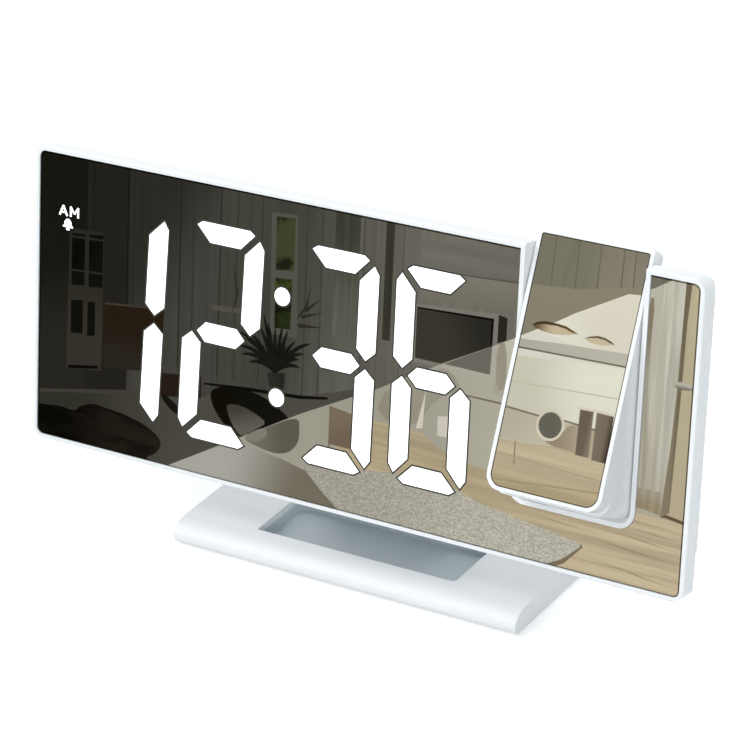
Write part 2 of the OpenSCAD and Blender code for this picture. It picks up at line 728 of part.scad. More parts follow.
module main_board() {
    color("seagreen") in_body() difference() {
        block([board_x0, main_y, board_z0], [board_x1, main_back, board_z1]);
        for (p = standoffs) peg_y(p[0], p[1], main_y - 1, main_back + 1, small_r + 0.15);
    }
}

module board_screws() color("silver") in_body() for (p = standoffs) small_screw(p[0], p[1], main_y, main_back + 3);

// Pin header between the boards, and the socket of the projector's lead
module board_links() color([0.1, 0.1, 0.1]) in_body() {
    block([-22, led_back, block_z0 + 4], [0, main_y, block_z0 + 6.5]);
    block([board_x1 - 8, led_back + 0.3, lead_z - 3], [board_x1 - 2, main_y, lead_z + 1.5]);
}

module control_chips() {
    color([0.12, 0.12, 0.13]) in_body() {
        x = board_x0;
        z = board_z0;
        block([x + 24, main_back, z + 18], [x + 24 + chip_w, main_back + chip_t, z + 18 + chip_w]);
        block([x + 46, main_back, z + 20], [x + 46 + chip_w / 2, main_back + chip_t, z + 20 + chip_w / 2]);
        block([x + 41, main_back, z + 32], [x + 44, main_back + 2 * chip_t, z + 34.6]);
        peg_y(x + 58, z + 32, main_back, main_back + 2 * chip_t, 2.5);
    }
}

module tact_switches() {
    color("darkgray") in_body() for (x = button_x) {
        s = switch_side / 2;
        block([x - s, main_back, button_z - s], [x + s, main_back + switch_t, button_z + s]);
        peg_y(x, button_z, main_back + switch_t - e, button_seat - button_travel - 0.05, 1.7);
    }
}

module snooze_switch() {
    color("darkgray") in_body() {
        block([snooze_x - 3, main_back, board_z1 - 1.5], [snooze_x + 3, back_inner - 0.6, board_z1 + 2]);
        translate([snooze_x, (main_back + back_inner) / 2, board_z1 + 1.9])
            cylinder(h = snooze_low - snooze_travel - board_z1 - 1.95, r = 1.3);
    }
}

module buzzer() color([0.1, 0.1, 0.1]) in_body() difference() {
    peg_y(buzzer_x, buzzer_z, main_back, back_inner - 0.3, buzzer_r);
    peg_y(buzzer_x, buzzer_z, back_inner - 1.3, back_inner, 1);
}

module usb_inlet() {
    color("silver") in_body() {
        along_y(main_back, body_depth - 0.1) difference() {
            usb_outline(0);
            usb_outline(-usb_wall);
        }
        along_y(main_back, main_back + 1.2) usb_outline(-usb_wall + 0.05);
        block([usb_x - 3.2, main_back + 1, usb_z - 0.35], [usb_x + 3.2, body_depth - 1, usb_z + 0.35]);
    }
}

module coin_cell() {
    color("gainsboro") in_body() {
        peg_y(cell_x, cell_z, cell_y, cell_y + 0.6, cell_d / 2 - 1);
        peg_y(cell_x, cell_z, cell_y + 0.6 - e, cell_y + cell_t, cell_d / 2);
    }
}

module cell_contacts() {
    color("gold") in_body() {
        block([cell_x - 5, cell_y - 0.3, cell_z - 2], [cell_x + 5, cell_y, cell_z + 2]);
        block([cell_x + cell_d / 2 + 0.03, cell_y - 0.3, cell_z - 1], [cell_x + cell_d / 2 + 0.3, cell_y + cell_t - 0.4, cell_z + 1]);
    }
}

// Buttons

module back_button(i) {
    color("white") in_body() {
        peg_y(button_x[i], button_z, button_seat, button_seat + button_flange, button_d / 2 + 0.9);
        peg_y(button_x[i], button_z, button_seat + button_flange - e, body_depth + button_proud, button_d / 2);
    }
}

module mode_button() back_button(0);
module set_button() back_button(1);
module up_button() back_button(2);
module down_button() back_button(3);
module projector_button() back_button(4);

module snooze_button() {
    color("white") in_body() {
        along_z(snooze_low, snooze_low + snooze_flange_t) soft_rect([snooze_x - snooze_w / 2 - 1, snooze_y - snooze_l / 2 - 0.8],
            [snooze_x + snooze_w / 2 + 1, snooze_y + snooze_l / 2 + 0.8], [1, 1, 1, 1]);
        along_z(snooze_low + snooze_flange_t - e, house_z1 + snooze_proud) soft_rect([snooze_x - snooze_w / 2, snooze_y - snooze_l / 2],
            [snooze_x + snooze_w / 2, snooze_y + snooze_l / 2], [1, 1, 1, 1]);
    }
}

// Hinge

module hinge_pin(s, bore) {
    a = notch_x + s * pin_end;
    b = notch_x + s * (head_w / 2 - pin_reach);
    difference() {
        peg_x(hinge_y, hinge_z, min(a, b), max(a, b), pin_d / 2);
        if (bore > 0) peg_x(hinge_y, hinge_z, min(a, b) - 1, max(a, b) + 1, bore / 2);
    }
}

module hinge_pin_hollow() color("silver") in_body() hinge_pin(-1, lead_d + 0.1);
module hinge_pin_solid() color("silver") in_body() hinge_pin(1, 0);

module hinge_washers() {
    color("dimgray") in_body() for (s = [-1, 1]) {
        a = notch_x + s * notch_w / 2;
        b = a - s * washer_t;
        difference() {
            peg_x(hinge_y, hinge_z, min(a, b), max(a, b), washer_d / 2);
            peg_x(hinge_y, hinge_z, min(a, b) - 1, max(a, b) + 1, pin_d / 2 + pin_clear);
        }
    }
}

// A lead runs through its points with round bends
module lead_run(points) {
    for (i = [1:len(points) - 1]) {
        d = points[i] - points[i - 1];
        translate(points[i - 1]) rotate([0, acos(d[2] / norm(d)), atan2(d[1], d[0])]) cylinder(h = norm(d), d = lead_d);
        if (i < len(points) - 1) translate(points[i]) sphere(d = lead_d + 0.06);
    }
}

module projector_lead() {
    x = notch_x - pin_end;
    color("firebrick") in_body() lead_run([[board_x1 - 2.2, (led_back + main_y) / 2 + 0.2, lead_z],
        [x - 1.2, hinge_y + 0.2, hinge_z - 2.5], [x - 0.3, hinge_y, hinge_z], [head_x0 + pin_reach / 2, hinge_y, hinge_z]]);
}

module head_lead() {
    x = head_x0 + pin_reach;
    color("firebrick") in_head() lead_run([[x - pin_reach / 2 + 0.1, hinge_y, hinge_z], [x + 1, hinge_y, hinge_z],
        [x + 4.2, hinge_y - 1, hinge_z - 6], [x + 4.2, hinge_y - 1, tunnel_z]]);
}

// Projector head, drawn closed in the notch

module head_shape(grow, top) {
    soft_rect([head_x0 - grow, head_bottom - 1 - grow], [head_x1 + grow, top + grow],
        [head_r + grow, head_r + grow, 1.2 + max(grow, -1), 1.2 + max(grow, -1)]);
}

module swing_disc() peg_x(hinge_y, hinge_z, head_x0 - 1, head_x1 + 1, swing_r);

module head_front() {
    color("white") in_head() difference() {
        union() {
            difference() {
                intersection() {
                    along_y(0, head_front_t) soft_rect([head_x0, head_bottom], [head_x1, head_top], [head_r, head_r, 1.2, 1.2]);
                    along_x(head_x0 - 1, head_x1 + 1) soft_rect([0, head_bottom], [head_front_t, head_top], [0.4, 0, 1.8, 0.5]);
                    swing_disc();
                }
                along_y(-1, head_mirror_t + 0.1) head_mirror_shape(0.05);
                along_y(head_plate_y, head_front_t + 1) soft_rect([head_x0 + head_wall, head_bottom + head_wall + 0.4],
                    [head_x1 - head_wall, deck_z - head_wall], [head_r - head_wall, head_r - head_wall, 1, 1]);
            }
            for (p = head_posts) peg_y(p[0], p[1], head_plate_y - e, head_front_t + 4, head_post_r);
        }
        for (p = head_posts) peg_y(p[0], p[1], head_plate_y + 0.2, head_front_t + 5, pilot_r);
    }
}

module head_mirror_shape(grow) {
    b = head_border - grow;
    soft_rect([head_x0 + b, head_bottom + b], [head_x1 - b, head_top - b], [head_r - b, head_r - b, 0.5, 0.5]);
}

module head_mirror() color([0.16, 0.15, 0.14]) in_head() along_y(0.1, head_mirror_t + 0.1) head_mirror_shape(0);

module head_housing() {
    color("white") in_head() difference() {
        union() {
            difference() {
                intersection() {
                    along_y(head_front_t, head_depth) head_shape(0, deck_z);
                    along_x(head_x0 - 1, head_x1 + 1) soft_rect([0, 0], [head_depth, deck_z], [0, 0, 2, 0]);
                    along_z(0, head_top) soft_rect([head_x0, 0], [head_x1, head_depth], [0, 0, 1.5, 1.5]);
                    swing_disc();
                }
                intersection() {
                    along_y(head_front_t - 1, head_depth - head_wall) head_shape(-head_wall, deck_z);
                    peg_x(hinge_y, hinge_z, head_x0, head_x1, swing_r - head_wall);
                }
            }
            for (s = [-1, 1]) intersection() {
                peg_x(hinge_y, hinge_z, notch_x + s * (head_w / 2 - pin_reach / 2 - 0.2) - pin_reach / 2 - 0.2,
                    notch_x + s * (head_w / 2 - pin_reach / 2 - 0.2) + pin_reach / 2 + 0.2, boss_r);
                block([head_x0, head_front_t, 0], [head_x1, head_depth, head_top]);
            }
            for (p = head_posts) peg_y(p[0], p[1], head_front_t + 4, head_depth - head_wall + e, head_post_r);
            for (z = [tunnel_z + 4, tunnel_z + 16]) block([notch_x - tunnel_r - 1.5, lens_y, z],
                [notch_x + tunnel_r + 1.5, head_depth - head_wall + e, z + 1.4]);
        }
        translate([notch_x, lens_y, tunnel_z - 1]) cylinder(h = tunnel_top - tunnel_z + 1, r = tunnel_r + 0.05);
        translate([notch_x, lens_y, tunnel_top - 1]) cylinder(h = head_top, r = tube_r + 0.05);
        for (s = [-1, 1]) peg_x(hinge_y, hinge_z, notch_x + s * (head_w / 2 - pin_reach / 2) - pin_reach / 2 - 1,
            notch_x + s * (head_w / 2 - pin_reach / 2) + pin_reach / 2 + 1, pin_d / 2 + pin_clear);
        for (p = head_posts) {
            peg_y(p[0], p[1], head_front_t, head_depth + 1, screw_r + 0.1);
            peg_y(p[0], p[1], head_seat, head_depth + 1, head_post_r - 0.3);
        }
    }
}

module head_screws() {
    color("silver") in_head() for (p = head_posts) difference() {
        union() {
            peg_y(p[0], p[1], head_plate_y + 0.6, head_seat + e, pilot_r);
            peg_y(p[0], p[1], head_seat, head_seat + 1.2, head_post_r - 0.4);
        }
        translate([p[0], head_seat + 1.2, p[1]]) cross_slot();
    }
}

module light_tube() {
    color([0.08, 0.08, 0.08]) in_head() translate([notch_x, lens_y, 0]) difference() {
        union() {
            translate([0, 0, tunnel_z]) cylinder(h = tunnel_top - tunnel_z, r = tunnel_r);
            translate([0, 0, tunnel_top - e]) cylinder(h = tube_top - tunnel_top, r = tube_r);
        }
        translate([0, 0, tunnel_z - 1]) cylinder(h = tube_top - tunnel_z + 2, r = tube_bore / 2);
    }
}

module focus_ring() {
    color([0.1, 0.1, 0.1]) in_head() translate([notch_x, lens_y, deck_z + 0.15]) {
        difference() {
            union() {
                cylinder(h = ring_h, r = ring_d / 2 - 0.4);
                for (i = [0:ring_ribs - 1]) rotate(i * 360 / ring_ribs) translate([ring_d / 2 - 0.8, -0.35, 0]) cube([0.8, 0.7, ring_h]);
            }
            translate([0, 0, -1]) cylinder(h = ring_h + 2, r = tube_r + pin_clear);
        }
    }
}

module lens_cell() {
    color([0.12, 0.12, 0.12]) in_head() translate([notch_x, lens_y, tube_top - 5.2]) difference() {
        cylinder(h = 4.8, r = tube_bore / 2 - pin_clear);
        translate([0, 0, -1]) cylinder(h = 7, r = tube_bore / 2 - 1.1);
        translate([0, 0, 1.4]) cylinder(h = 7, r = tube_bore / 2 - 0.6);
    }
}

// A flat-backed lens: a disc whose upper face is part of a ball
module lens(r, edge, bulge) {
    ball = (r * r + bulge * bulge) / (2 * bulge);
    intersection() {
        cylinder(h = edge + bulge + 1, r = r);
        translate([0, 0, edge + bulge - ball]) sphere(ball);
    }
}

module projection_lens() color([0.75, 0.85, 0.9]) in_head()
    translate([notch_x, lens_y, tube_top - 5.2 + 1.4]) lens(tube_bore / 2 - 0.62, 0.8, 1.2);

module condenser_lens() color([0.75, 0.85, 0.9]) in_head() translate([notch_x, lens_y, tunnel_z + 5]) lens(tube_bore / 2 - 0.02, 1, 1.6);

module lcd_slide() color([0.3, 0.1, 0.08]) in_head() translate([notch_x, lens_y, tunnel_z + 13])
    cylinder(h = 1, r = tube_bore / 2 - 0.02);

module head_led_board() color("darkgreen") in_head()
    block([notch_x - 9, head_front_t + 0.8, tunnel_z - 1.4], [notch_x + 9, head_depth - head_wall - 0.2, tunnel_z]);

module head_led() color([0.9, 0.25, 0.15]) in_head() translate([notch_x, lens_y, tunnel_z]) {
    cylinder(h = 2, r = 2.5);
    translate([0, 0, 2]) difference() {
        sphere(2.5);
        translate([0, 0, -5]) cube(10, center = true);
    }
}

base_shell();
base_cover();
base_feet();
base_screws();
stand_neck();
neck_screws();
front_frame();
rear_housing();
mirror_panel();
panel_tape();
segment_mask();
hour_tens_segments();
hour_units_segments();
minute_tens_segments();
minute_units_segments();
colon_dots();
indicator_marks();
led_board();
segment_leds();
led_board_screws();
main_board();
board_links();
control_chips();
tact_switches();
snooze_switch();
buzzer();
usb_inlet();
board_screws();
coin_cell();
cell_contacts();
battery_door();
housing_screws();
snooze_button();
mode_button();
set_button();
up_button();
down_button();
projector_button();
hinge_pin_hollow();
hinge_pin_solid();
hinge_washers();
projector_lead();
head_front();
head_mirror();
head_housing();
head_screws();
light_tube();
focus_ring();
lens_cell();
projection_lens();
condenser_lens();
lcd_slide();
head_led_board();
head_led();
head_lead();
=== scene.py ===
import json
import math
import bmesh
import bpy
from mathutils import Matrix, Vector


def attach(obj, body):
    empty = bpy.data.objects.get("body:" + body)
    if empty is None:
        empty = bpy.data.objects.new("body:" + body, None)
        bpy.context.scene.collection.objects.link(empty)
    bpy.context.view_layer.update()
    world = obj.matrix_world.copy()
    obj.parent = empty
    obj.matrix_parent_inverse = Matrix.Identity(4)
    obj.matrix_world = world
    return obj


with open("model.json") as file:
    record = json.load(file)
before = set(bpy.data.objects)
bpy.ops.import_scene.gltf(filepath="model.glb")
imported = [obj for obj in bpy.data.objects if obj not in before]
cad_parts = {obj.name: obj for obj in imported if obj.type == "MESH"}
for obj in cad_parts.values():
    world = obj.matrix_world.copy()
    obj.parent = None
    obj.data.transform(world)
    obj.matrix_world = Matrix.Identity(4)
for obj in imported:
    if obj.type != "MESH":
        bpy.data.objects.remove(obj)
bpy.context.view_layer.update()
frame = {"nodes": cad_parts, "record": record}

print("clock: frame loaded,", len(frame["nodes"]), "nodes")

# Places are in millimetres in the leaning body or in the swung head, and come out in metres
millimetre = 0.001
stance = {"lean": 12.5, "swing": 18.1, "foot": (0, -18.05, 21.05), "hinge": (0, 8, 62.9)}


def placing():
    lean = Matrix.Rotation(math.radians(-stance["lean"]), 4, "X")
    swing = Matrix.Rotation(math.radians(-stance["swing"]), 4, "X")
    hinge = Matrix.Translation(stance["hinge"])
    body = Matrix.Scale(millimetre, 4) @ Matrix.Translation(stance["foot"]) @ lean
    return body, body @ hinge @ swing @ hinge.inverted()


bodyPlace, headPlace = placing()

# Camera
view = {"eye": (0.41927, -0.58755, 0.42602), "right": (0.8353295, 0.5441359, -0.0783628),
        "up": (-0.1952468, 0.4268927, 0.8829730), "lens": 161.81, "sensor": 36, "near": 0.02, "far": 50}


def addCamera():
    data = bpy.data.cameras.new("camera")
    data.lens = view["lens"]
    data.sensor_width = view["sensor"]
    data.clip_start = view["near"]
    data.clip_end = view["far"]
    camera = bpy.data.objects.new("camera", data)
    bpy.context.scene.collection.objects.link(camera)
    right, up = Vector(view["right"]), Vector(view["up"])
    back = right.cross(up)
    turn = Matrix((right, up, back)).transposed().to_4x4()
    camera.matrix_world = Matrix.Translation(view["eye"]) @ turn
    bpy.context.scene.camera = camera


addCamera()


# Shader tools
class Wire:
    # one output of a node, to add, multiply or compare with another or with a plain number
    def __init__(self, finish, out):
        self.finish = finish
        self.out = out

    def maths(self, operation, first, second):
        node = self.finish.nodes.new("ShaderNodeMath")
        node.operation = operation
        for place, value in enumerate((first, second)):
            self.finish.feed(node.inputs[place], value)
        return Wire(self.finish, node.outputs[0])

    def __add__(self, other):
        return self.maths("ADD", self, other)

    def __radd__(self, other):
        return self.maths("ADD", other, self)

    def __sub__(self, other):
        return self.maths("SUBTRACT", self, other)

    def __rsub__(self, other):
        return self.maths("SUBTRACT", other, self)

    def __mul__(self, other):
        return self.maths("MULTIPLY", self, other)

    def __rmul__(self, other):
        return self.maths("MULTIPLY", other, self)

    def __gt__(self, other):
        return self.maths("GREATER_THAN", self, other)

    def __lt__(self, other):
        return self.maths("LESS_THAN", self, other)

    def __pow__(self, other):
        return self.maths("POWER", self, other)

    def __abs__(self):
        return self.maths("ABSOLUTE", self, 0.0)

    def larger(self, other):
        return self.maths("MAXIMUM", self, other)


class Finish:
    # a material in the making, out of nodes
    def __init__(self, name):
        self.material = bpy.data.materials.new(name)
        self.material.use_nodes = True
        self.nodes = self.material.node_tree.nodes
        self.links = self.material.node_tree.links
        self.nodes.clear()
        self.place = None

    def feed(self, socket, value):
        if isinstance(value, Wire):
            self.links.new(value.out, socket)
        else:
            socket.default_value = value

    def add(self, kind, settings=None, inputs=None, out=0):
        node = self.nodes.new("ShaderNode" + kind)
        for name, value in (settings or {}).items():
            if name == "stops":
                ramp = node.color_ramp
                while len(ramp.elements) < len(value):
                    ramp.elements.new(0.5)
                for element, (position, colour) in zip(ramp.elements, value):
                    element.position = position
                    element.color = tuple(colour) + (1.0,)
            else:
                setattr(node, name, value)
        for name, value in (inputs or {}).items():
            self.feed(node.inputs[name], value)
        return Wire(self, node.outputs[out])

    def point(self):
        # the point's object coordinates
        if self.place is None:
            self.place = self.add("TexCoord", out="Object")
        return self.place

    def where(self, stretch=(1, 1, 1), turn=(0, 0, 0)):
        # object coordinates, stretched and turned for a pattern
        turned = tuple(math.radians(a) for a in turn)
        return self.add("Mapping", inputs={"Vector": self.point(), "Scale": stretch, "Rotation": turned})

    def along(self, start, way):
        # how far a point lies from start, along way
        dot = self.add("VectorMath", {"operation": "DOT_PRODUCT"}, {0: self.point(), 1: tuple(way)}, out="Value")
        return dot - Vector(start).dot(Vector(way))

    def noise(self, scale, detail=3.0, roughness=0.55, stretch=(1, 1, 1), turn=(0, 0, 0)):
        return self.add("TexNoise", inputs={"Vector": self.where(stretch, turn), "Scale": scale, "Detail": detail,
                                            "Roughness": roughness})

    def spread(self, value, low, high, start=0.3, end=0.7):
        # a value drawn out to run from low to high
        return self.add("MapRange", {"interpolation_type": "SMOOTHSTEP"},
                        {"Value": value, "From Min": start, "From Max": end, "To Min": low, "To Max": high})

    def blend(self, factor, first, second):
        # from one colour to another; each is a tuple or a wire
        first, second = (c + (1.0,) if isinstance(c, tuple) else c for c in (first, second))
        return self.add("Mix", {"data_type": "RGBA"}, {0: factor, 6: first, 7: second}, out=2)

    def bump(self, height, distance, strength=1.0):
        return self.add("Bump", inputs={"Height": height, "Distance": distance, "Strength": strength})

    def shader(self, inputs):
        return self.add("BsdfPrincipled", inputs=inputs)

    def done(self, surface):
        end = self.nodes.new("ShaderNodeOutputMaterial")
        self.links.new(surface.out, end.inputs["Surface"])
        return self.material


# Finishes
moulding = {"cloudDetail": 2.0, "skinRough": 0.6, "glossScale": 2.3, "skin": 0.03, "coatRough": 0.08, "milk": 0.0006,
            "bump": 0.6}


def moulded(name, look):
    # moulded plastic or rubber: a cloudy tint, a fine skin and a little change in the gloss
    f = Finish(name)
    cloud = f.noise(look["cloud"], moulding["cloudDetail"])
    skin = f.noise(look["grain"], moulding["cloudDetail"], moulding["skinRough"])
    tint = f.blend(f.spread(cloud, 0.0, 1.0), look["light"], look["dark"])
    gloss = f.spread(f.noise(look["cloud"] * moulding["glossScale"], moulding["cloudDetail"]), *look["gloss"])
    if "tray" in look:
        # painted shade: the tray's recessed floor is tinted a darker bluish grey for the shade that falls in the
        # recess, and is made matt
        low, high = look["tray"]["low"], look["tray"]["high"]
        inside = (f.along((low[0], 0, 0), (1, 0, 0)) > 0) * (f.along((high[0], 0, 0), (1, 0, 0)) < 0)
        inside = inside * (f.along((0, low[1], 0), (0, 1, 0)) > 0) * (f.along((0, high[1], 0), (0, 1, 0)) < 0)
        inside = inside * f.spread(f.along((0, 0, 0), (0, 0, 1)), 1.0, 0.0, low[2], high[2])
        tint = f.blend(inside, tint, look["tray"]["tint"])
        gloss = gloss + inside * look["tray"]["matt"]
    gloss = gloss + (skin - 0.5) * look.get("skin", moulding["skin"])
    return f.done(f.shader({"Base Color": tint, "Roughness": gloss,
                            "Coat Weight": look.get("coat", 0.0), "Coat Roughness": moulding["coatRough"],
                            "Subsurface Weight": look.get("milky", 0.0), "Subsurface Scale": moulding["milk"],
                            "Normal": f.bump(skin, look["depth"], moulding["bump"])}))


# The two panes: middle, half-size, corner radius and the height of the top edge, in millimetres.
# Here and below, a pattern is given as its scale, detail, roughness, stretch and turn
panes = {"body": {"mid": (0, 36.85), "half": (93, 37.15), "corner": 1.8, "top": 74, "edge": 0.45},
         "head": {"mid": (63.5, 76.7), "half": (14.1, 60), "corner": 3, "top": 75.6, "edge": 0.25},
         "notch": {"mid": (63.5, 74.25), "half": (15.7, 60), "corner": 3.2},
         "light": (0.415, 0.412, 0.402), "dark": (0.398, 0.394, 0.384), "edgeTint": (0.10, 0.098, 0.092),
         "smear": (38, 5.0, 0.6, (1, 1, 2.2), (0, 0, 25)), "dust": (2600, 1.0), "speck": 0.76, "speckGloss": 0.04,
         "gloss": (0.004, 0.012)}


def mirrorFinish(name, place, pane, notch=None):
    # half-silvered and smoked, with the faintest smears; the silver stops just short of the edge
    f = Finish(name)
    smear = f.noise(*panes["smear"])
    dust = f.noise(*panes["dust"])
    turn = place.to_3x3().normalized()
    start = place @ Vector((0, 0, 0))
    x, z = (f.along(start, turn @ Vector(way)) * (1 / millimetre) for way in ((1, 0, 0), (0, 0, 1)))

    def outside(box):
        # distance from a rounded box
        (midX, midZ), (halfX, halfZ), r = box["mid"], box["half"], box["corner"]
        overX = (abs(x - midX) - (halfX - r)).larger(0)
        overZ = (abs(z - midZ) - (halfZ - r)).larger(0)
        return (overX * overX + overZ * overZ) ** 0.5 - r

    edge = outside(pane).larger(z - pane["top"]) > -pane["edge"]
    if notch:
        edge = edge.larger(outside(notch) < pane["edge"])
    tint = f.blend(edge, f.blend(f.spread(smear, 0.0, 1.0), panes["light"], panes["dark"]), panes["edgeTint"])
    gloss = f.spread(smear, *panes["gloss"]) + (dust > panes["speck"]) * panes["speckGloss"]
    return f.done(f.shader({"Base Color": tint, "Metallic": 1.0, "Roughness": gloss}))


# Metals, rubbed or drawn: light and dark tint and the stretch of the grain
metals = {"steel": ("platedSteel", (0.68, 0.68, 0.69), (0.52, 0.52, 0.53), (1, 1, 14)),
          "cell": ("cellCan", (0.78, 0.78, 0.78), (0.66, 0.66, 0.66), (1, 1, 3)),
          "contacts": ("springBrass", (0.82, 0.62, 0.28), (0.68, 0.5, 0.2), (1, 1, 14))}
drawing = {"grain": (420, 4.0, 0.6), "gloss": (0.2, 0.38), "depth": 0.00003, "bump": 0.5}


def metalFinish(name, light, dark, stretch):
    f = Finish(name)
    grain = f.noise(*drawing["grain"], stretch)
    tint = f.blend(f.spread(grain, 0.0, 1.0), light, dark)
    return f.done(f.shader({"Base Color": tint, "Metallic": 1.0, "Roughness": f.spread(grain, *drawing["gloss"]),
                            "Normal": f.bump(grain, drawing["depth"], drawing["bump"])}))


board = {"runs": 130, "turn": (0, 35, 0), "wander": 9.0, "wanderDetail": 1.0, "weave": (1500, 2.0),
         "stops": [(0.0, (0, 0, 0)), (0.62, (0, 0, 0)), (0.68, (1, 1, 1))], "light": (0.018, 0.13, 0.06),
         "dark": (0.026, 0.17, 0.08), "copper": (0.07, 0.26, 0.11), "gloss": (0.28, 0.4), "depth": 0.00004,
         "bump": 0.6}


def boardFinish(b):
    # green lacquer over copper runs
    f = Finish("boardLacquer")
    runs = f.add("TexWave", {"wave_type": "BANDS", "bands_direction": "Z"},
                 {"Vector": f.where(turn=b["turn"]), "Scale": b["runs"], "Distortion": b["wander"],
                  "Detail": b["wanderDetail"]}, out="Fac")
    copper = f.add("ValToRGB", {"stops": b["stops"]}, {"Fac": runs})
    weave = f.noise(*b["weave"])
    tint = f.blend(copper, f.blend(f.spread(weave, 0.0, 1.0), b["light"], b["dark"]), b["copper"])
    return f.done(f.shader({"Base Color": tint, "Roughness": f.spread(weave, *b["gloss"]),
                            "Normal": f.bump(copper, b["depth"], b["bump"])}))


diffuser = {"cloud": (240, 2.0), "base": (0.9, 0.9, 0.9, 1.0), "gloss": (0.4, 0.55)}


def lampFinish(name, colour, edge, strength):
    # a diffuser lit from behind, a touch brighter in cloudy patches
    f = Finish(name)
    cloud = f.noise(*diffuser["cloud"])
    glow = f.blend(f.spread(cloud, 0.0, 1.0), colour, edge)
    return f.done(f.shader({"Base Color": diffuser["base"], "Roughness": f.spread(cloud, *diffuser["gloss"]),
                            "Emission Color": glow, "Emission Strength": strength}))


# Clear pieces: light and dark tint and the gloss
clears = {"clear_lens": ("clearLens", (0.98, 0.99, 1.0), (0.93, 0.96, 0.98), (0.01, 0.04)),
          "slide_film": ("filmSlide", (0.5, 0.07, 0.04), (0.4, 0.05, 0.03), (0.1, 0.2))}
clearness = {"cloud": (300, 3.0), "through": 0.92, "index": 1.49}


def clearFinish(name, light, dark, gloss):
    f = Finish(name)
    cloud = f.noise(*clearness["cloud"])
    tint = f.blend(f.spread(cloud, 0.0, 1.0), light, dark)
    return f.done(f.shader({"Base Color": tint, "Roughness": f.spread(cloud, *gloss),
                            "Transmission Weight": clearness["through"], "IOR": clearness["index"]}))


white = {"light": (0.87, 0.875, 0.885), "dark": (0.86, 0.866, 0.877), "cloud": 22, "grain": 1700,
         "gloss": (0.27, 0.27), "coat": 0.3, "depth": 0.000004, "skin": 0.01}
# painted shade in the base's tray: the recess box in metres, the darker bluish tint painted for its shade, and extra
# roughness
tray = {"low": (-0.0291, -0.0138, 0.0035), "high": (0.0291, 0.0062, 0.0053), "tint": (0.52, 0.575, 0.595),
        "matt": 0.25}
plastics = {
    "white_shell": dict(white, tray=tray),
    "white_keys": dict(white, light=(0.85, 0.85, 0.86), gloss=(0.38, 0.38), coat=0.0, grain=2600, depth=0.00003),
    "base_underside": dict(white, light=(0.8, 0.8, 0.81), dark=(0.76, 0.765, 0.775), gloss=(0.5, 0.62), coat=0.0,
                           grain=2100, depth=0.00008),
    "black_tape": {"light": (0.012, 0.012, 0.012), "dark": (0.02, 0.02, 0.02), "cloud": 90, "grain": 2400,
                   "gloss": (0.75, 0.9), "depth": 0.00008},
    "black_plastic": {"light": (0.014, 0.014, 0.015), "dark": (0.024, 0.024, 0.026), "cloud": 60, "grain": 2600,
                      "gloss": (0.38, 0.52), "depth": 0.00004},
    "switches": {"light": (0.03, 0.03, 0.032), "dark": (0.05, 0.05, 0.052), "cloud": 80, "grain": 2200,
                 "gloss": (0.4, 0.55), "depth": 0.00004},
    "feet_rubber": {"light": (0.05, 0.05, 0.052), "dark": (0.075, 0.074, 0.072), "cloud": 70, "grain": 1500,
                    "gloss": (0.7, 0.85), "depth": 0.00009},
    "washers": {"light": (0.03, 0.03, 0.03), "dark": (0.045, 0.045, 0.044), "cloud": 120, "grain": 2000,
                "gloss": (0.3, 0.45), "depth": 0.00003},
    "lead_cover": {"light": (0.42, 0.02, 0.015), "dark": (0.32, 0.015, 0.012), "cloud": 150, "grain": 1800,
                   "gloss": (0.42, 0.55), "depth": 0.00005},
    "light_blocks": {"light": (0.9, 0.91, 0.93), "dark": (0.84, 0.85, 0.88), "cloud": 120, "grain": 1900,
                     "gloss": (0.4, 0.52), "depth": 0.00003, "milky": 0.2},
    "leds": {"light": (0.82, 0.76, 0.35), "dark": (0.9, 0.86, 0.6), "cloud": 500, "grain": 2500,
             "gloss": (0.15, 0.25), "depth": 0.00003},
}


# Lamps: name, colour, colour of the patches and strength
redLamp = ("redLamp", (1.0, 0.16, 0.05), (1.0, 0.28, 0.1), 6.0)
whiteLamp = ("litWhite", (1.0, 1.0, 1.0), (0.985, 0.99, 1.0), 1.06)


def dressNodes():
    # each node takes the finish of its material slot in the record
    finishes = {slot: moulded(slot.title().replace("_", ""), look) for slot, look in plastics.items()}
    finishes["mirror"] = mirrorFinish("halfMirror", bodyPlace, panes["body"], panes["notch"])
    finishes["headMirror"] = mirrorFinish("headHalfMirror", headPlace, panes["head"])
    finishes["circuit_board"] = boardFinish(board)
    finishes.update({slot: metalFinish(*look) for slot, look in metals.items()})
    finishes["projector_led"] = lampFinish(*redLamp)
    finishes.update({slot: clearFinish(*look) for slot, look in clears.items()})
    slots = {row["node"]: row["material_slot"] for row in frame["record"]["subparts"]}
    for node, obj in frame["nodes"].items():
        finish = finishes["headMirror" if node == "head_mirror" else slots[node]]
        if not obj.material_slots:
            obj.data.materials.append(finish)
        for slot in obj.material_slots:
            slot.material = finish


dressNodes()
print("clock: nodes dressed")


# Mesh tools
def keep(mesh, name, materials, place=None):
    # a finished piece, at the origin with its place in its mesh
    if place is not None:
        mesh.transform(place)
    bmesh.ops.recalc_face_normals(mesh, faces=mesh.faces)
    data = bpy.data.meshes.new(name)
    mesh.to_mesh(data)
    mesh.free()
    for material in materials:
        data.materials.append(material)
    obj = bpy.data.objects.new(name, data)
    bpy.context.scene.collection.objects.link(obj)
    return obj


def outlineFace(mesh, points, y):
    face = mesh.faces.new([mesh.verts.new((x, y, z)) for x, z in points])
    face.normal_update()
    if face.normal.y > 0:
        face.normal_flip()
    return face


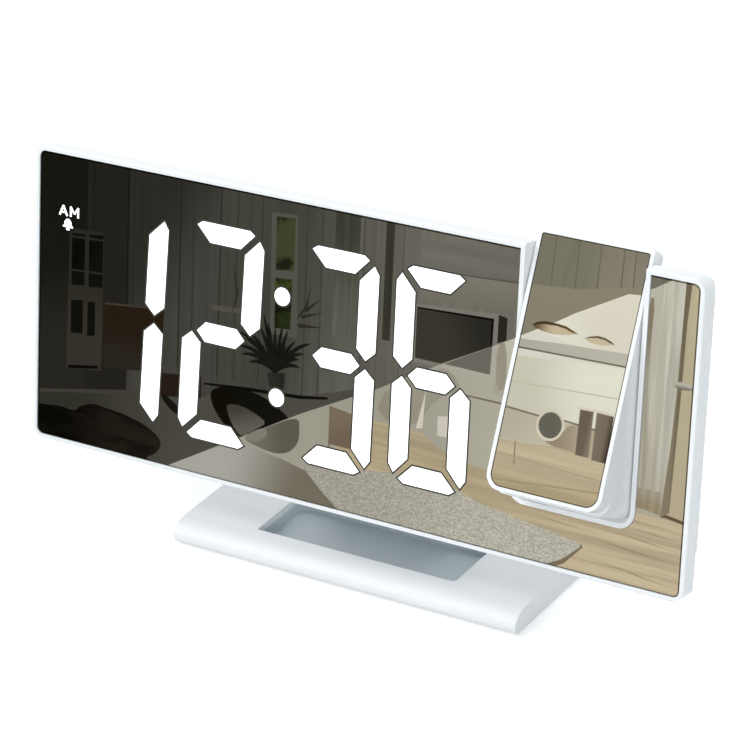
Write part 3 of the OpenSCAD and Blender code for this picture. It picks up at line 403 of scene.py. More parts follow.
# Lit strokes of the digits, at the glass. Each figure: its middle, width, foot and slant
digits = {"figures": [("1", -65.7, 23.4, 8.3, 0.042), ("2", -36.6, 22.8, 9.0, 0.031),
                      ("3", -2.7, 22.0, 9.9, 0.012), ("6", 24.2, 21.5, 10.8, 0.003)],
          "parts": {"1": "bc", "2": "abged", "3": "abgcd", "6": "acdefg"}, "top": 64.5, "lying": 0.09,
          "standing": 0.242, "edge": 0.42, "proud": 0.03, "sunk": 0.02, "colon": [(-19.5, 24.4), (-18.8, 50.0)],
          "colonWide": 4.5, "round": 48}
# How far the corners of a stroke lie from the ends of its figure, and from its waist
tips = {"lying": (2.9, 4.4, 1.0, 1.9), "middle": 4.3, "standing": (1.4, 2.2, 4.2, 6.3), "high": (4.0, 1.6, 4.2),
        "low": (2.8, 0.5, 3.0)}


def strokeOutlines(w, h, lying, standing):
    # the seven strokes, in a box w wide and h high
    waist, half, inner = h / 2, lying / 2, w - standing
    tip, shoulder, drop, root = tips["lying"]
    top = [(tip, h - drop), (shoulder, h), (w - shoulder, h), (w - tip, h - drop), (w - root - lying, h - lying),
           (root + lying, h - lying)]
    end = tips["middle"]
    middle = [(end, waist), (end + half, waist + half), (w - end - half, waist + half), (w - end, waist),
              (w - end - half, waist - half), (end + half, waist - half)]

    def upright(gaps):
        # a right-hand stroke from the top of its half down to the waist
        tip, drop, shoulder, root = tips["standing"]
        outer, point, inside = gaps
        return [(w - tip, waist - drop), (w, waist - shoulder), (w, outer), (w - standing / 2, point),
                (inner, inside), (inner, waist - root)]

    side = [(x, waist + z) for x, z in upright(tips["high"])]
    low = [(x, waist - z) for x, z in upright(tips["low"])]
    overX = lambda p: [(w - x, z) for x, z in p]
    overZ = lambda p: [(x, h - z) for x, z in p]
    return {"a": top, "b": side, "c": low, "d": overZ(top), "e": overX(low), "f": overX(side), "g": middle}


def litPlate(mesh, face, depth, edge):
    # a thin plate, lit inside a dark rim
    rim = bmesh.ops.inset_region(mesh, faces=[face], use_boundary=True, use_even_offset=True, thickness=edge)["faces"]
    for ring in rim:
        ring.material_index = 1
    grown = bmesh.ops.extrude_face_region(mesh, geom=[face] + rim, use_keep_orig=True)
    moved = [v for v in grown["geom"] if isinstance(v, bmesh.types.BMVert)]
    bmesh.ops.translate(mesh, verts=moved, vec=(0, depth, 0))


def grownOutline(points, by, sharpest=0.5):
    # the outline moved out by a width, corner by corner; a sharp corner isn't drawn out further than the limit
    turned = sum(p[0] * q[1] - q[0] * p[1] for p, q in zip(points, points[1:] + points[:1])) < 0
    ring = list(reversed(points)) if turned else list(points)
    out = []
    for i, here in enumerate(ring):
        before, after = ring[i - 1], ring[(i + 1) % len(ring)]
        first = Vector((here[0] - before[0], here[1] - before[1])).normalized()
        second = Vector((after[0] - here[0], after[1] - here[1])).normalized()
        side = Vector((first.y, -first.x))
        way = (side + Vector((second.y, -second.x))).normalized()
        out.append(tuple(Vector(here) + way * by / max(way.dot(side), sharpest)))
    return out


litWhite = lampFinish(*whiteLamp)
maskEdge = moulded("maskEdge", dict(plastics["black_plastic"], light=(0.035, 0.032, 0.027),
                                    dark=(0.028, 0.026, 0.022), gloss=(0.5, 0.6)))


def litDigits(d):
    mesh = bmesh.new()
    for figure, middle, width, bottom, slant in d["figures"]:
        height = d["top"] - bottom
        outlines = strokeOutlines(width, height, height * d["lying"], width * d["standing"])
        for part in d["parts"][figure]:
            points = [(x + middle - width / 2 + slant * (z - height / 2), z + bottom) for x, z in outlines[part]]
            face = outlineFace(mesh, grownOutline(points, d["edge"]), -d["proud"])
            litPlate(mesh, face, d["proud"] + d["sunk"], d["edge"])
    radius = d["colonWide"] / 2 + d["edge"]
    for x, z in d["colon"]:
        turns = (i * 2 * math.pi / d["round"] for i in range(d["round"]))
        ring = [(x + radius * math.cos(t), z + radius * math.sin(t)) for t in turns]
        litPlate(mesh, outlineFace(mesh, ring, -d["proud"]), d["proud"] + d["sunk"], d["edge"])
    obj = keep(mesh, "lit_digits", [litWhite, maskEdge], bodyPlace)
    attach(obj, "clock")


litDigits(digits)

# Small marks, lit: AM over a bell
marks = {"strokes": [((0, 0), (1.2, 2.6), 0.55), ((1.1, 2.6), (2.4, 0), 0.55), ((0.5, 0.85), (1.9, 0.85), 0.4),
                     ((3.5, 0), (3.5, 2.6), 0.55), ((5.8, 0), (5.8, 2.6), 0.55), ((3.4, 2.6), (4.65, 0.9), 0.5),
                     ((4.65, 0.9), (5.9, 2.6), 0.5)],
         "bell": [(1.1, -2.9), (4.2, -2.9), (4.2, -2.5), (3.8, -2.3), (3.7, -1.4), (3.2, -0.8), (2.65, -0.6),
                  (2.1, -0.8), (1.6, -1.4), (1.5, -2.3), (1.1, -2.5)],
         "clapper": [(2.2, -3.6), (3.1, -3.6), (3.2, -3.1), (2.1, -3.1)], "corner": (-86.8, 58.4), "proud": 0.03,
         "sunk": 0.02, "step": 0.001}


def litMarks(m):
    # each shape stands a step in front of the one before
    mesh = bmesh.new()
    shapes = [m["bell"], m["clapper"]]
    for (x0, z0), (x1, z1), w in m["strokes"]:
        d = Vector((x1 - x0, z1 - z0)).normalized() * w / 2
        shapes.append([(x0 + d.y, z0 - d.x), (x1 + d.y, z1 - d.x), (x1 - d.y, z1 + d.x), (x0 - d.y, z0 + d.x)])
    for i, shape in enumerate(shapes):
        placed = [(x + m["corner"][0], z + m["corner"][1]) for x, z in shape]
        face = outlineFace(mesh, placed, -m["proud"] - m["step"] * i)
        grown = bmesh.ops.extrude_face_region(mesh, geom=[face], use_keep_orig=True)
        moved = [v for v in grown["geom"] if isinstance(v, bmesh.types.BMVert)]
        bmesh.ops.translate(mesh, verts=moved, vec=(0, m["proud"] + m["sunk"], 0))
    obj = keep(mesh, "lit_marks", [litWhite], bodyPlace)
    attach(obj, "clock")


litMarks(marks)
print("clock: digits lit")

# Stage: floor, lamps and room
studio = {"floor": 2.4, "floorCloud": (9, 3.0), "floorTint": (0.66, 0.67, 0.68), "cloudy": 0.985, "floorMatt": 0.7,
          "floorGlow": 0.5, "fillFront": (0.53, 0.58, 0.61), "fillBack": (0.35, 0.395, 0.42), "reach": 0.7,
          "backdrop": 1.0}


def stageFloor(s):
    f = Finish("paleFloor")
    cloud = f.noise(*s["floorCloud"])
    tint = f.blend(f.spread(cloud, 0.0, 1.0), s["floorTint"], tuple(c * s["cloudy"] for c in s["floorTint"]))
    matt = f.shader({"Base Color": tint, "Roughness": s["floorMatt"]})
    strength = f.add("LightPath", out="Is Camera Ray") * s["floorGlow"]
    glow = f.add("Emission", inputs={"Color": (1.0, 1.0, 1.0, 1.0), "Strength": strength})
    material = f.done(f.add("AddShader", inputs={0: matt, 1: glow}))
    mesh = bmesh.new()
    bmesh.ops.create_grid(mesh, x_segments=2, y_segments=2, size=s["floor"])
    obj = keep(mesh, "floor", [material])
    obj.visible_glossy = False  # what the glass throws down is the room, not the table


def lightWorld(s):
    # soft fill, stronger from the front; what is seen, or seen through gloss and glass, is plain white
    world = bpy.data.worlds.new("studio")
    bpy.context.scene.world = world
    world.use_nodes = True
    tree = world.node_tree
    tree.nodes.clear()
    add = lambda kind: tree.nodes.new("ShaderNode" + kind)
    kinds = ("LightPath", "TexCoord", "SeparateXYZ", "MapRange", "Mix", "MixShader", "Background", "Background",
             "OutputWorld")
    paths, place, split, reach, fill, mix, backdrop, glow, out = (add(kind) for kind in kinds)
    shown = [add("Math"), add("Math")]
    for node in shown:
        node.operation = "MAXIMUM"
    reach.inputs["From Min"].default_value = -s["reach"]
    reach.inputs["From Max"].default_value = s["reach"]
    fill.data_type = "RGBA"
    fill.inputs[6].default_value = s["fillFront"] + (1.0,)
    fill.inputs[7].default_value = s["fillBack"] + (1.0,)
    backdrop.inputs["Color"].default_value = (s["backdrop"],) * 3 + (1.0,)
    links = [(paths.outputs["Is Camera Ray"], shown[0].inputs[0]),
             (paths.outputs["Is Glossy Ray"], shown[0].inputs[1]), (shown[0].outputs[0], shown[1].inputs[0]),
             (paths.outputs["Is Transmission Ray"], shown[1].inputs[1]),
             (place.outputs["Generated"], split.inputs[0]), (split.outputs["Y"], reach.inputs["Value"]),
             (reach.outputs[0], fill.inputs[0]), (fill.outputs[2], glow.inputs["Color"]),
             (shown[1].outputs[0], mix.inputs[0]), (glow.outputs[0], mix.inputs[1]),
             (backdrop.outputs[0], mix.inputs[2]), (mix.outputs[0], out.inputs["Surface"])]
    for start, end in links:
        tree.links.new(start, end)


target = (0, 0, 0.04)
lamps = {"key": {"at": (-0.7, -0.9, 1.25), "size": 0.9, "power": 11.3, "tint": (1.0, 0.99, 0.97)},
         "side": {"at": (0.72, -0.78, 0.36), "size": 0.6, "power": 2.9, "tint": (0.93, 0.99, 1.0)},
         "top": {"at": (0.1, 0.35, 1.3), "size": 1.0, "power": 6.6, "tint": (1.0, 1.0, 1.0)}}


def hangLamps():
    for name, lamp in lamps.items():
        data = bpy.data.lights.new(name, "AREA")
        data.shape = "DISK"
        data.size = lamp["size"]
        data.energy = lamp["power"]
        data.color = lamp["tint"]
        obj = bpy.data.objects.new(name, data)
        way = Vector(target) - Vector(lamp["at"])
        obj.matrix_world = Matrix.Translation(lamp["at"]) @ way.to_track_quat("-Z", "Y").to_matrix().to_4x4()
        obj.visible_glossy = False
        bpy.context.scene.collection.objects.link(obj)


stageFloor(studio)
lightWorld(studio)
hangLamps()

# The room that the glass shows. Each shape is drawn where it is seen on the glass, x and z in millimetres,
# with colours from 0 to 255, and stands on a card well in front of the clock that only shiny surfaces see.
# A row has a name, a colour, the outline and the look. A fade runs from one point to another, to a second colour.
room = {"away": 500.0, "step": 1.0, "tint": (0.407, 0.403, 0.393), "cut": 0.25, "rough": 0.6, "apart": 0.1,
        "clear": 3}


def linear(level):
    # the usual curve, from a level of 0 to 255 to light
    c = level / 255
    return c / 12.92 if c < 0.04045 else ((c + 0.055) / 1.055) ** 2.4


def seen(colour):
    # what a card has to give for the glass to show this colour
    return tuple(linear(c) / t for c, t in zip(colour, room["tint"]))


def rounded(points, times):
    # corners cut off again and again
    near = lambda a, b: tuple(p * (1 - room["cut"]) + q * room["cut"] for p, q in zip(a, b))
    for _ in range(times):
        points = [q for a, b in zip(points, points[1:] + points[:1]) for q in (near(a, b), near(b, a))]
    return points


def hangCard(name, place, layer, colour, points, fade=None, rounds=0, scale=14.0, stretch=(1, 1, 1), turn=0,
             detail=3.0, low=0.3, high=0.7, dim=0.93):
    # one shape of the room, on its own card; a higher layer stands nearer
    eye = place.inverted() @ Vector(view["eye"])
    away = room["away"] - layer * room["step"]
    reach = away / -eye.y
    onCard = lambda p: (p[0] + reach * (p[0] - eye.x), p[1] + reach * (p[1] - eye.z))
    f = Finish("paint_" + name)
    tint = seen(colour) + (1.0,)
    if fade:
        start, end = (place @ Vector((onCard(p)[0], -away, onCard(p)[1])) for p in fade[:2])
        way = end - start
        tint = f.blend(f.spread(f.along(start, way / way.length_squared), 0.0, 1.0, 0.0, 1.0), seen(colour),
                       seen(fade[2]))
    cloud = f.noise(scale, detail, room["rough"], stretch, (0, turn, 0))
    paint = f.done(f.add("Emission", inputs={"Color": tint, "Strength": f.spread(cloud, 1.0, dim, low, high)}))
    paint.cycles.emission_sampling = "NONE"  # only seen in the glass, so never sampled as a lamp
    mesh = bmesh.new()
    outlineFace(mesh, [onCard(p) for p in rounded(points, rounds)], -away)
    obj = keep(mesh, "room_" + name, [paint], place)
    for ray in ("camera", "diffuse", "shadow", "transmission", "volume_scatter"):
        setattr(obj, "visible_" + ray, False)


panelled = {"scale": 30.0, "stretch": (9, 1, 0.12), "low": 0.42, "high": 0.62, "dim": 0.88}
woodGrain = {"scale": 22.0, "stretch": (0.35, 1, 13), "turn": 4, "low": 0.36, "high": 0.64, "dim": 0.74}
folds = {"scale": 60.0, "stretch": (8, 1, 0.1), "low": 0.38, "high": 0.6, "dim": 0.78}
leafy = {"scale": 70.0, "low": 0.42, "high": 0.56, "dim": 0.25}
fleck = {"scale": 1500.0, "stretch": (0.7, 1, 1), "low": 0.36, "high": 0.64, "detail": 1.0, "dim": 0.66}

# Dark side of the room, over the slanting line
darkRoom = [
    ("wallLeft", (24, 23, 18), [(-130, -40), (-78, -40), (-78, 110), (-130, 110)],
     {"fade": ((-90, 50), (-84, 24), (38, 37, 31))}),
    ("wallDoor", (34, 33, 28), [(-78, -40), (-65, -40), (-65, 110), (-78, 110)], {}),
    ("wallMid", (44, 43, 38), [(-65, -40), (-37.6, -40), (-37.6, 110), (-65, 110)],
     dict(panelled, fade=((-64, 50), (-46, 40), (68, 67, 61)))),
    ("wallFar", (68, 67, 60), [(-37.6, -40), (4, -40), (4, 110), (-37.6, 110)],
     dict(panelled, fade=((-20, 40), (2, 36), (96, 95, 86)))),
    ("wallRight", (92, 90, 81), [(4, -40), (97, -40), (97, 110), (4, 110)],
     dict(panelled, fade=((4, 40), (26, 40), (114, 110, 100)))),
    ("curtainPale", (100, 99, 89), [(-4.2, 43), (-4.2, 110), (2.8, 110), (2.8, 43.5)],
     dict(folds, fade=((-4, 46), (-4, 70), (66, 66, 55)))),
    ("curtainDark", (56, 55, 45), [(10, 45), (10, 110), (12.6, 110), (12.2, 45)], dict(folds)),
    ("shelf", (112, 110, 102), [(20, 64.2), (48, 65.9), (48, 73.4), (20, 71.4)],
     {"scale": 40.0, "stretch": (0.2, 1, 7), "dim": 0.84}),
    ("shelfLow", (124, 120, 108), [(20, 57), (48, 59), (48, 65.9), (20, 64.2)],
     {"fade": ((34, 65), (34, 57), (114, 110, 98))}),
    ("shelfLine", (88, 85, 77), [(20, 63.9), (48, 65.6), (48, 66.0), (20, 64.3)], {}),
    ("tvFrame", (122, 119, 110), [(18.9, 41.4), (18.9, 55.5), (42.6, 57.4), (42.4, 41.2)], {}),
    ("tvScreen", (58, 55, 46), [(19.4, 42.4), (19.4, 54.9), (40.4, 56.0), (40.2, 42.4)],
     {"scale": 6.0, "dim": 0.9, "fade": ((26, 46), (40, 52), (40, 39, 34))}),
    ("tvEdge", (10, 9, 8), [(19.4, 54.5), (19.4, 54.9), (40.4, 56.0), (40.2, 42.4), (39.7, 42.4), (39.8, 55.4)], {}),
    ("tvSide", (42, 40, 34), [(41.6, 50.4), (41.6, 57.2), (44.0, 56.8), (44.0, 51.4)], {"scale": 50.0, "dim": 0.6}),
    ("doorFrame", (42, 40, 34), [(-84.1, 19.1), (-83.5, 55.5), (-72.7, 56.3), (-73.0, 20.3)],
     {"fade": ((-80, 50), (-80, 24), (54, 51, 44))}),
    ("doorLine", (12, 11, 9), [(-83.4, 19.0), (-83.4, 19.9), (-74.0, 21.4), (-74.0, 20.6)], {}),
    ("brownPanel", (38, 29, 19), [(-72.1, 21.3), (-72.1, 37.9), (-53.8, 39.9), (-54.6, 23.7)],
     {"scale": 20.0, "dim": 0.86, "fade": ((-64, 34), (-64, 24), (42, 38, 31))}),
    ("brownTop", (62, 58, 50), [(-72.1, 37.9), (-72.1, 38.4), (-53.8, 40.4), (-53.8, 39.9)], {}),
    ("floorDark", (50, 49, 42), [(-130, -40), (-130, 4), (-92, 11.2), (-84.5, 13.3), (-61, 17.4), (-40, 21),
     (-12, 26.4), (9, 33), (9, -40)], {"scale": 12.0, "dim": 0.88, "fade": ((-84, 12), (-44, 10), (77, 75, 67))}),
    ("skirting", (64, 62, 55), [(-130, 4.6), (-130, 3.9), (-92, 10.9), (-61, 16.8), (-40, 20.5), (-40, 21.6),
     (-61, 17.7)], {}),
    ("brownLow", (37, 29, 22), [(-54.4, 17.6), (-54.4, 23.6), (-42, 25.2), (-42, 19.6)], {}),
    ("lowDark", (22, 20, 15), [(-54.5, 17.5), (-53.5, 18.6), (-48.6, 16.0), (-47.6, 13.6), (-50.6, 14.2)],
     {"rounds": 1}),
    ("wallArt", (80, 78, 70), [(-39.4, 42.8), (-39.4, 44.0), (-31, 44.8), (-31, 43.4)], {}),
    ("windowFrame", (82, 83, 74), [(-22.0, 40.0), (-22.6, 70.3), (-15.1, 70.9), (-14.1, 40.6)], {}),
    ("windowHigh", (62, 67, 43), [(-21.0, 56.3), (-21.1, 69.5), (-15.7, 69.9), (-15.6, 57.0)], dict(leafy)),
    ("windowLow", (62, 72, 34), [(-20.8, 41.8), (-21.0, 54.3), (-16.0, 54.8), (-16.2, 42.3)],
     dict(leafy, fade=((-18, 52), (-18, 43), (36, 44, 22)))),
    ("sofaDark", (18, 16, 11), [(-130, -40), (-130, 6.4), (-92.3, 7.5), (-85.8, 8.6), (-81.3, 7.8), (-79.4, 9.8),
     (-75.6, 11.3), (-71.2, 10.9), (-65.5, 10.5), (-59.8, 9.3), (-56.1, 7.8), (-53.8, 5.9), (-54.1, 4.0),
     (-55.9, 1.8), (-59.0, 0.6), (-62, -40)], {"rounds": 2, "scale": 26.0, "stretch": (1, 1, 4), "turn": 28,
     "low": 0.46, "high": 0.6, "dim": 0.5, "fade": ((-84, 8), (-62, 6), (34, 29, 23))}),
    ("vase", (45, 44, 38), [(-22.5, 30.3), (-17.2, 31.1), (-17.4, 27.0), (-21.8, 26.6)],
     {"fade": ((-22, 28), (-18, 28), (40, 38, 33))}),
]
doorPanes = [(-82.8, -78.7, 41.0, 54.8), (-77.4, -73.0, 41.4, 55.4), (-82.8, -79.0, 28.4, 37.6),
             (-77.6, -75.2, 28.6, 37.9)]
doorBars = [(-83.0, -72.8, 44.6), (-83.0, -72.8, 53.2)]
door = {"paneSlope": 0.5, "barSlope": 0.7, "barThick": 0.5, "barLift": 0.5}
darkSeams = [(-77.8, 36), (-76.3, 26), (-65.6, 22), (-63.6, 40), (-49.6, 38), (-45.6, 52), (-37.6, 46), (-32.6, 54),
             (-25.4, 56), (-12.4, 60), (-8.0, 62), (3.8, 70), (7.6, 98), (14.8, 86)]
seamSpan = {"foot": 26, "top": 110, "wide": 0.4, "darker": (0, 1, 6)}
twigs = [[(-33.6, 42.4), (-32.2, 48), (-33.8, 56.6), (-31.6, 48.2)], [(-32.4, 48), (-30.4, 50.6), (-31.8, 48.6)],
         [(-16.2, 42.9), (-12.0, 49), (-10.6, 54.4), (-11.4, 48.6)], [(-12.4, 48), (-7.5, 51.6), (-11.6, 47.4)],
         [(-14.3, 44.2), (-6.2, 44.6), (-13.6, 43.2)], [(-13.4, 46.4), (-6.6, 48.4), (-12.8, 45.6)]]

# Light side of the room, under the slanting line
lightRoom = [
    ("lightWall", (158, 154, 140), [(-123.5, -40), (-51.6, 0), (-12.4, 21.8), (9.3, 32.6), (27.6, 42.8), (42, 50.2),
     (81.3, 71), (86.7, 74.3), (97, 80), (97, -40)], {"scale": 8.0, "stretch": (1, 1, 3), "dim": 0.95,
     "fade": ((10, 30), (42, 40), (174, 170, 154))}),
    ("wallGlow", (190, 186, 170), [(41, 38), (42.0, 50.2), (60, 60), (60, 38)],
     {"fade": ((48, 46), (42, 39), (166, 162, 146))}),
    ("wallShade", (146, 140, 124), [(9, 26), (12, 33.9), (26, 41.6), (30, 41.0), (33, 37), (26, 34), (20, 24.6)],
     {"scale": 16.0, "dim": 0.9, "rounds": 1, "fade": ((12, 28), (28, 40), (156, 152, 137))}),
    ("tvGhost", (106, 104, 94), [(27.4, 42.5), (40.3, 49.3), (40.1, 42.4)], {}),
    ("tvRail", (172, 168, 156), [(40.3, 49.3), (41.5, 50.0), (41.6, 41.6), (27.4, 41.7), (27.6, 42.4), (40.1, 42.4)],
     {}),
    ("railShade", (150, 145, 130), [(41.5, 50.0), (44.2, 51.3), (44.6, 40), (41.8, 38.6)], {"rounds": 1}),
    ("cupboardLine", (112, 104, 88), [(33.6, 35.9), (33.6, 36.3), (50, 36.4), (50, 35.9)], {}),
    ("woodFloor", (186, 170, 138), [(2.7, 24.3), (12.2, 24.6), (22, 24.5), (27, 21.6), (36, 19.6), (48, 18.4),
     (70, 17.6), (88.3, 18.0), (93, 17.5), (97, 16.6), (97, -40), (-8.3, -40), (-4, 12)],
     dict(woodGrain, fade=((30, 14), (88, 6), (198, 182, 152)))),
    ("lampShade", (206, 201, 187), [(22.9, 35), (20.6, 25.2), (22.4, 25.6)], {}),
    ("heater", (202, 197, 184), [(26.6, 24.6), (26.5, 29.4), (29.8, 30.1), (29.8, 24.8)], {}),
    ("stoolBox", (127, 112, 93), [(-4.0, 16), (-4.0, 25.6), (2.6, 24.9), (2.7, 16)],
     {"scale": 24.0, "dim": 0.85, "fade": ((-3, 24), (2, 17), (118, 104, 86))}),
    ("stoolLine", (116, 100, 84), [(-3.9, 12.5), (-3.9, 25.6), (-3.5, 25.6), (-3.5, 12.5)], {}),
    ("chairLight", (116, 111, 99), [(-29.3, 12.0), (-22.0, 16.4), (-12.8, 21.2), (-12.4, 17.6), (-12.6, 14.4),
     (-15.0, 11.4), (-18.5, 10.2), (-22.0, 10.3), (-26.3, 11.1)],
     {"rounds": 2, "fade": ((-27, 13), (-16, 14), (94, 89, 78))}),
    ("chairLightHole", (128, 124, 112), [(-29.0, 12.3), (-25.2, 15.0), (-22.4, 16.2), (-21.6, 14.4), (-24.4, 12.0),
     (-27.2, 11.6)], {"rounds": 2}),
    ("carpet", (194, 191, 176), [(-12.6, 8.3), (-7.4, 8.9), (6.1, 11.6), (15.3, 12.8), (32.3, 12.6), (39.3, 10.7),
     (48.9, 9.4), (66.9, 7.0), (66.5, 6.0), (62, 2.1), (58, 0.0), (40, -30), (-20, -30)],
     dict(fleck, fade=((50, 4), (-2, 8), (176, 172, 158)))),
    ("carpetEdge", (124, 112, 92), [(57, -0.4), (62, 2.1), (66.5, 6.0), (66.9, 7.0), (67.3, 6.2), (62.6, 1.2),
     (58, -1.2)], {}),
    ("sofaPale", (167, 165, 156), [(-51.6, 0), (-40, 6.4), (-31, 11.0), (-23.8, 9.9), (-17.3, 9.2), (-10.2, 7.7),
     (-5.6, 3.7), (-1.0, 0.3), (10, -30), (-60, -30)], {"fade": ((-34, 8), (-12, 3), (116, 110, 96))}),
    ("curtain", (202, 198, 181), [(77, 19.4), (77, 69), (81.3, 71), (86.7, 74.3), (89.4, 76), (89.0, 50), (88, 33),
     (86.8, 18.5), (83, 20.1)], dict(folds, fade=((86, 40), (80, 38), (184, 178, 160)))),
    ("curtainShade", (146, 136, 113), [(80.2, 58), (80.4, 68.8), (81.8, 68.8), (81.4, 58.2), (81.6, 40), (82.4, 22),
     (80.6, 21), (80.2, 40)], dict(folds, rounds=1, fade=((81, 62), (81, 50), (176, 170, 152)))),
    ("curtainPaleFold", (196, 194, 180), [(86.6, 59.7), (87.9, 66), (87.2, 74.5), (89.1, 75.6), (88.6, 60),
     (86.8, 30), (85.6, 24), (85.4, 40)], dict(folds, rounds=1)),
    ("curtainFoot", (160, 146, 116), [(79, 24), (79, 19), (83, 19), (86.8, 18.4), (86.6, 24)],
     dict(folds, fade=((83, 20), (83, 24), (170, 162, 142)))),
    ("post", (134, 124, 102), [(88.0, 33.0), (88.8, 47.9), (89.3, 76), (91.0, 77), (90.2, 65), (89.9, 48),
     (89.0, 19.5), (88.1, 18.2), (86.8, 18.0), (87.2, 24)], {"fade": ((88.3, 36), (89.6, 36), (112, 103, 82))}),
    ("doorOak", (184, 174, 144), [(88.1, 19.1), (89.0, 19.5), (89.9, 48), (90.2, 65), (91.0, 77), (97, 80.5),
     (97, 18.0), (92.9, 18.4)], {"scale": 20.0, "stretch": (7, 1, 0.5), "dim": 0.93,
     "fade": ((90, 40), (90, 22), (186, 174, 144))}),
    ("doorFoot", (98, 80, 56), [(86.8, 18.1), (88.2, 19.0), (92.9, 18.4), (97, 18.0), (97, 17.2), (92.8, 17.6),
     (88.2, 18.2)], {}),
    ("latch", (186, 182, 170), [(88.1, 49.4), (88.1, 50.4), (89.6, 50.8), (93.4, 50.7), (93.4, 49.5), (89.8, 49.0)],
     {"fade": ((90, 50.4), (90, 49.2), (122, 116, 104))}),
]
woodLines = [((71.5, 12.2), (93.2, 10.6), 0.35), ((66.8, 9.2), (92.8, 7.6), 0.5), ((68, 4.4), (93, 1.6), 0.35),
             ((78.7, 13.9), (93.0, 13.2), 0.3), ((44, 14.8), (75, 12.6), 0.35), ((50, 11.6), (70, 10.4), 0.3),
             ((62, 16.4), (92, 15.4), 0.3), ((34, 17.6), (47, 16.4), 0.3)]

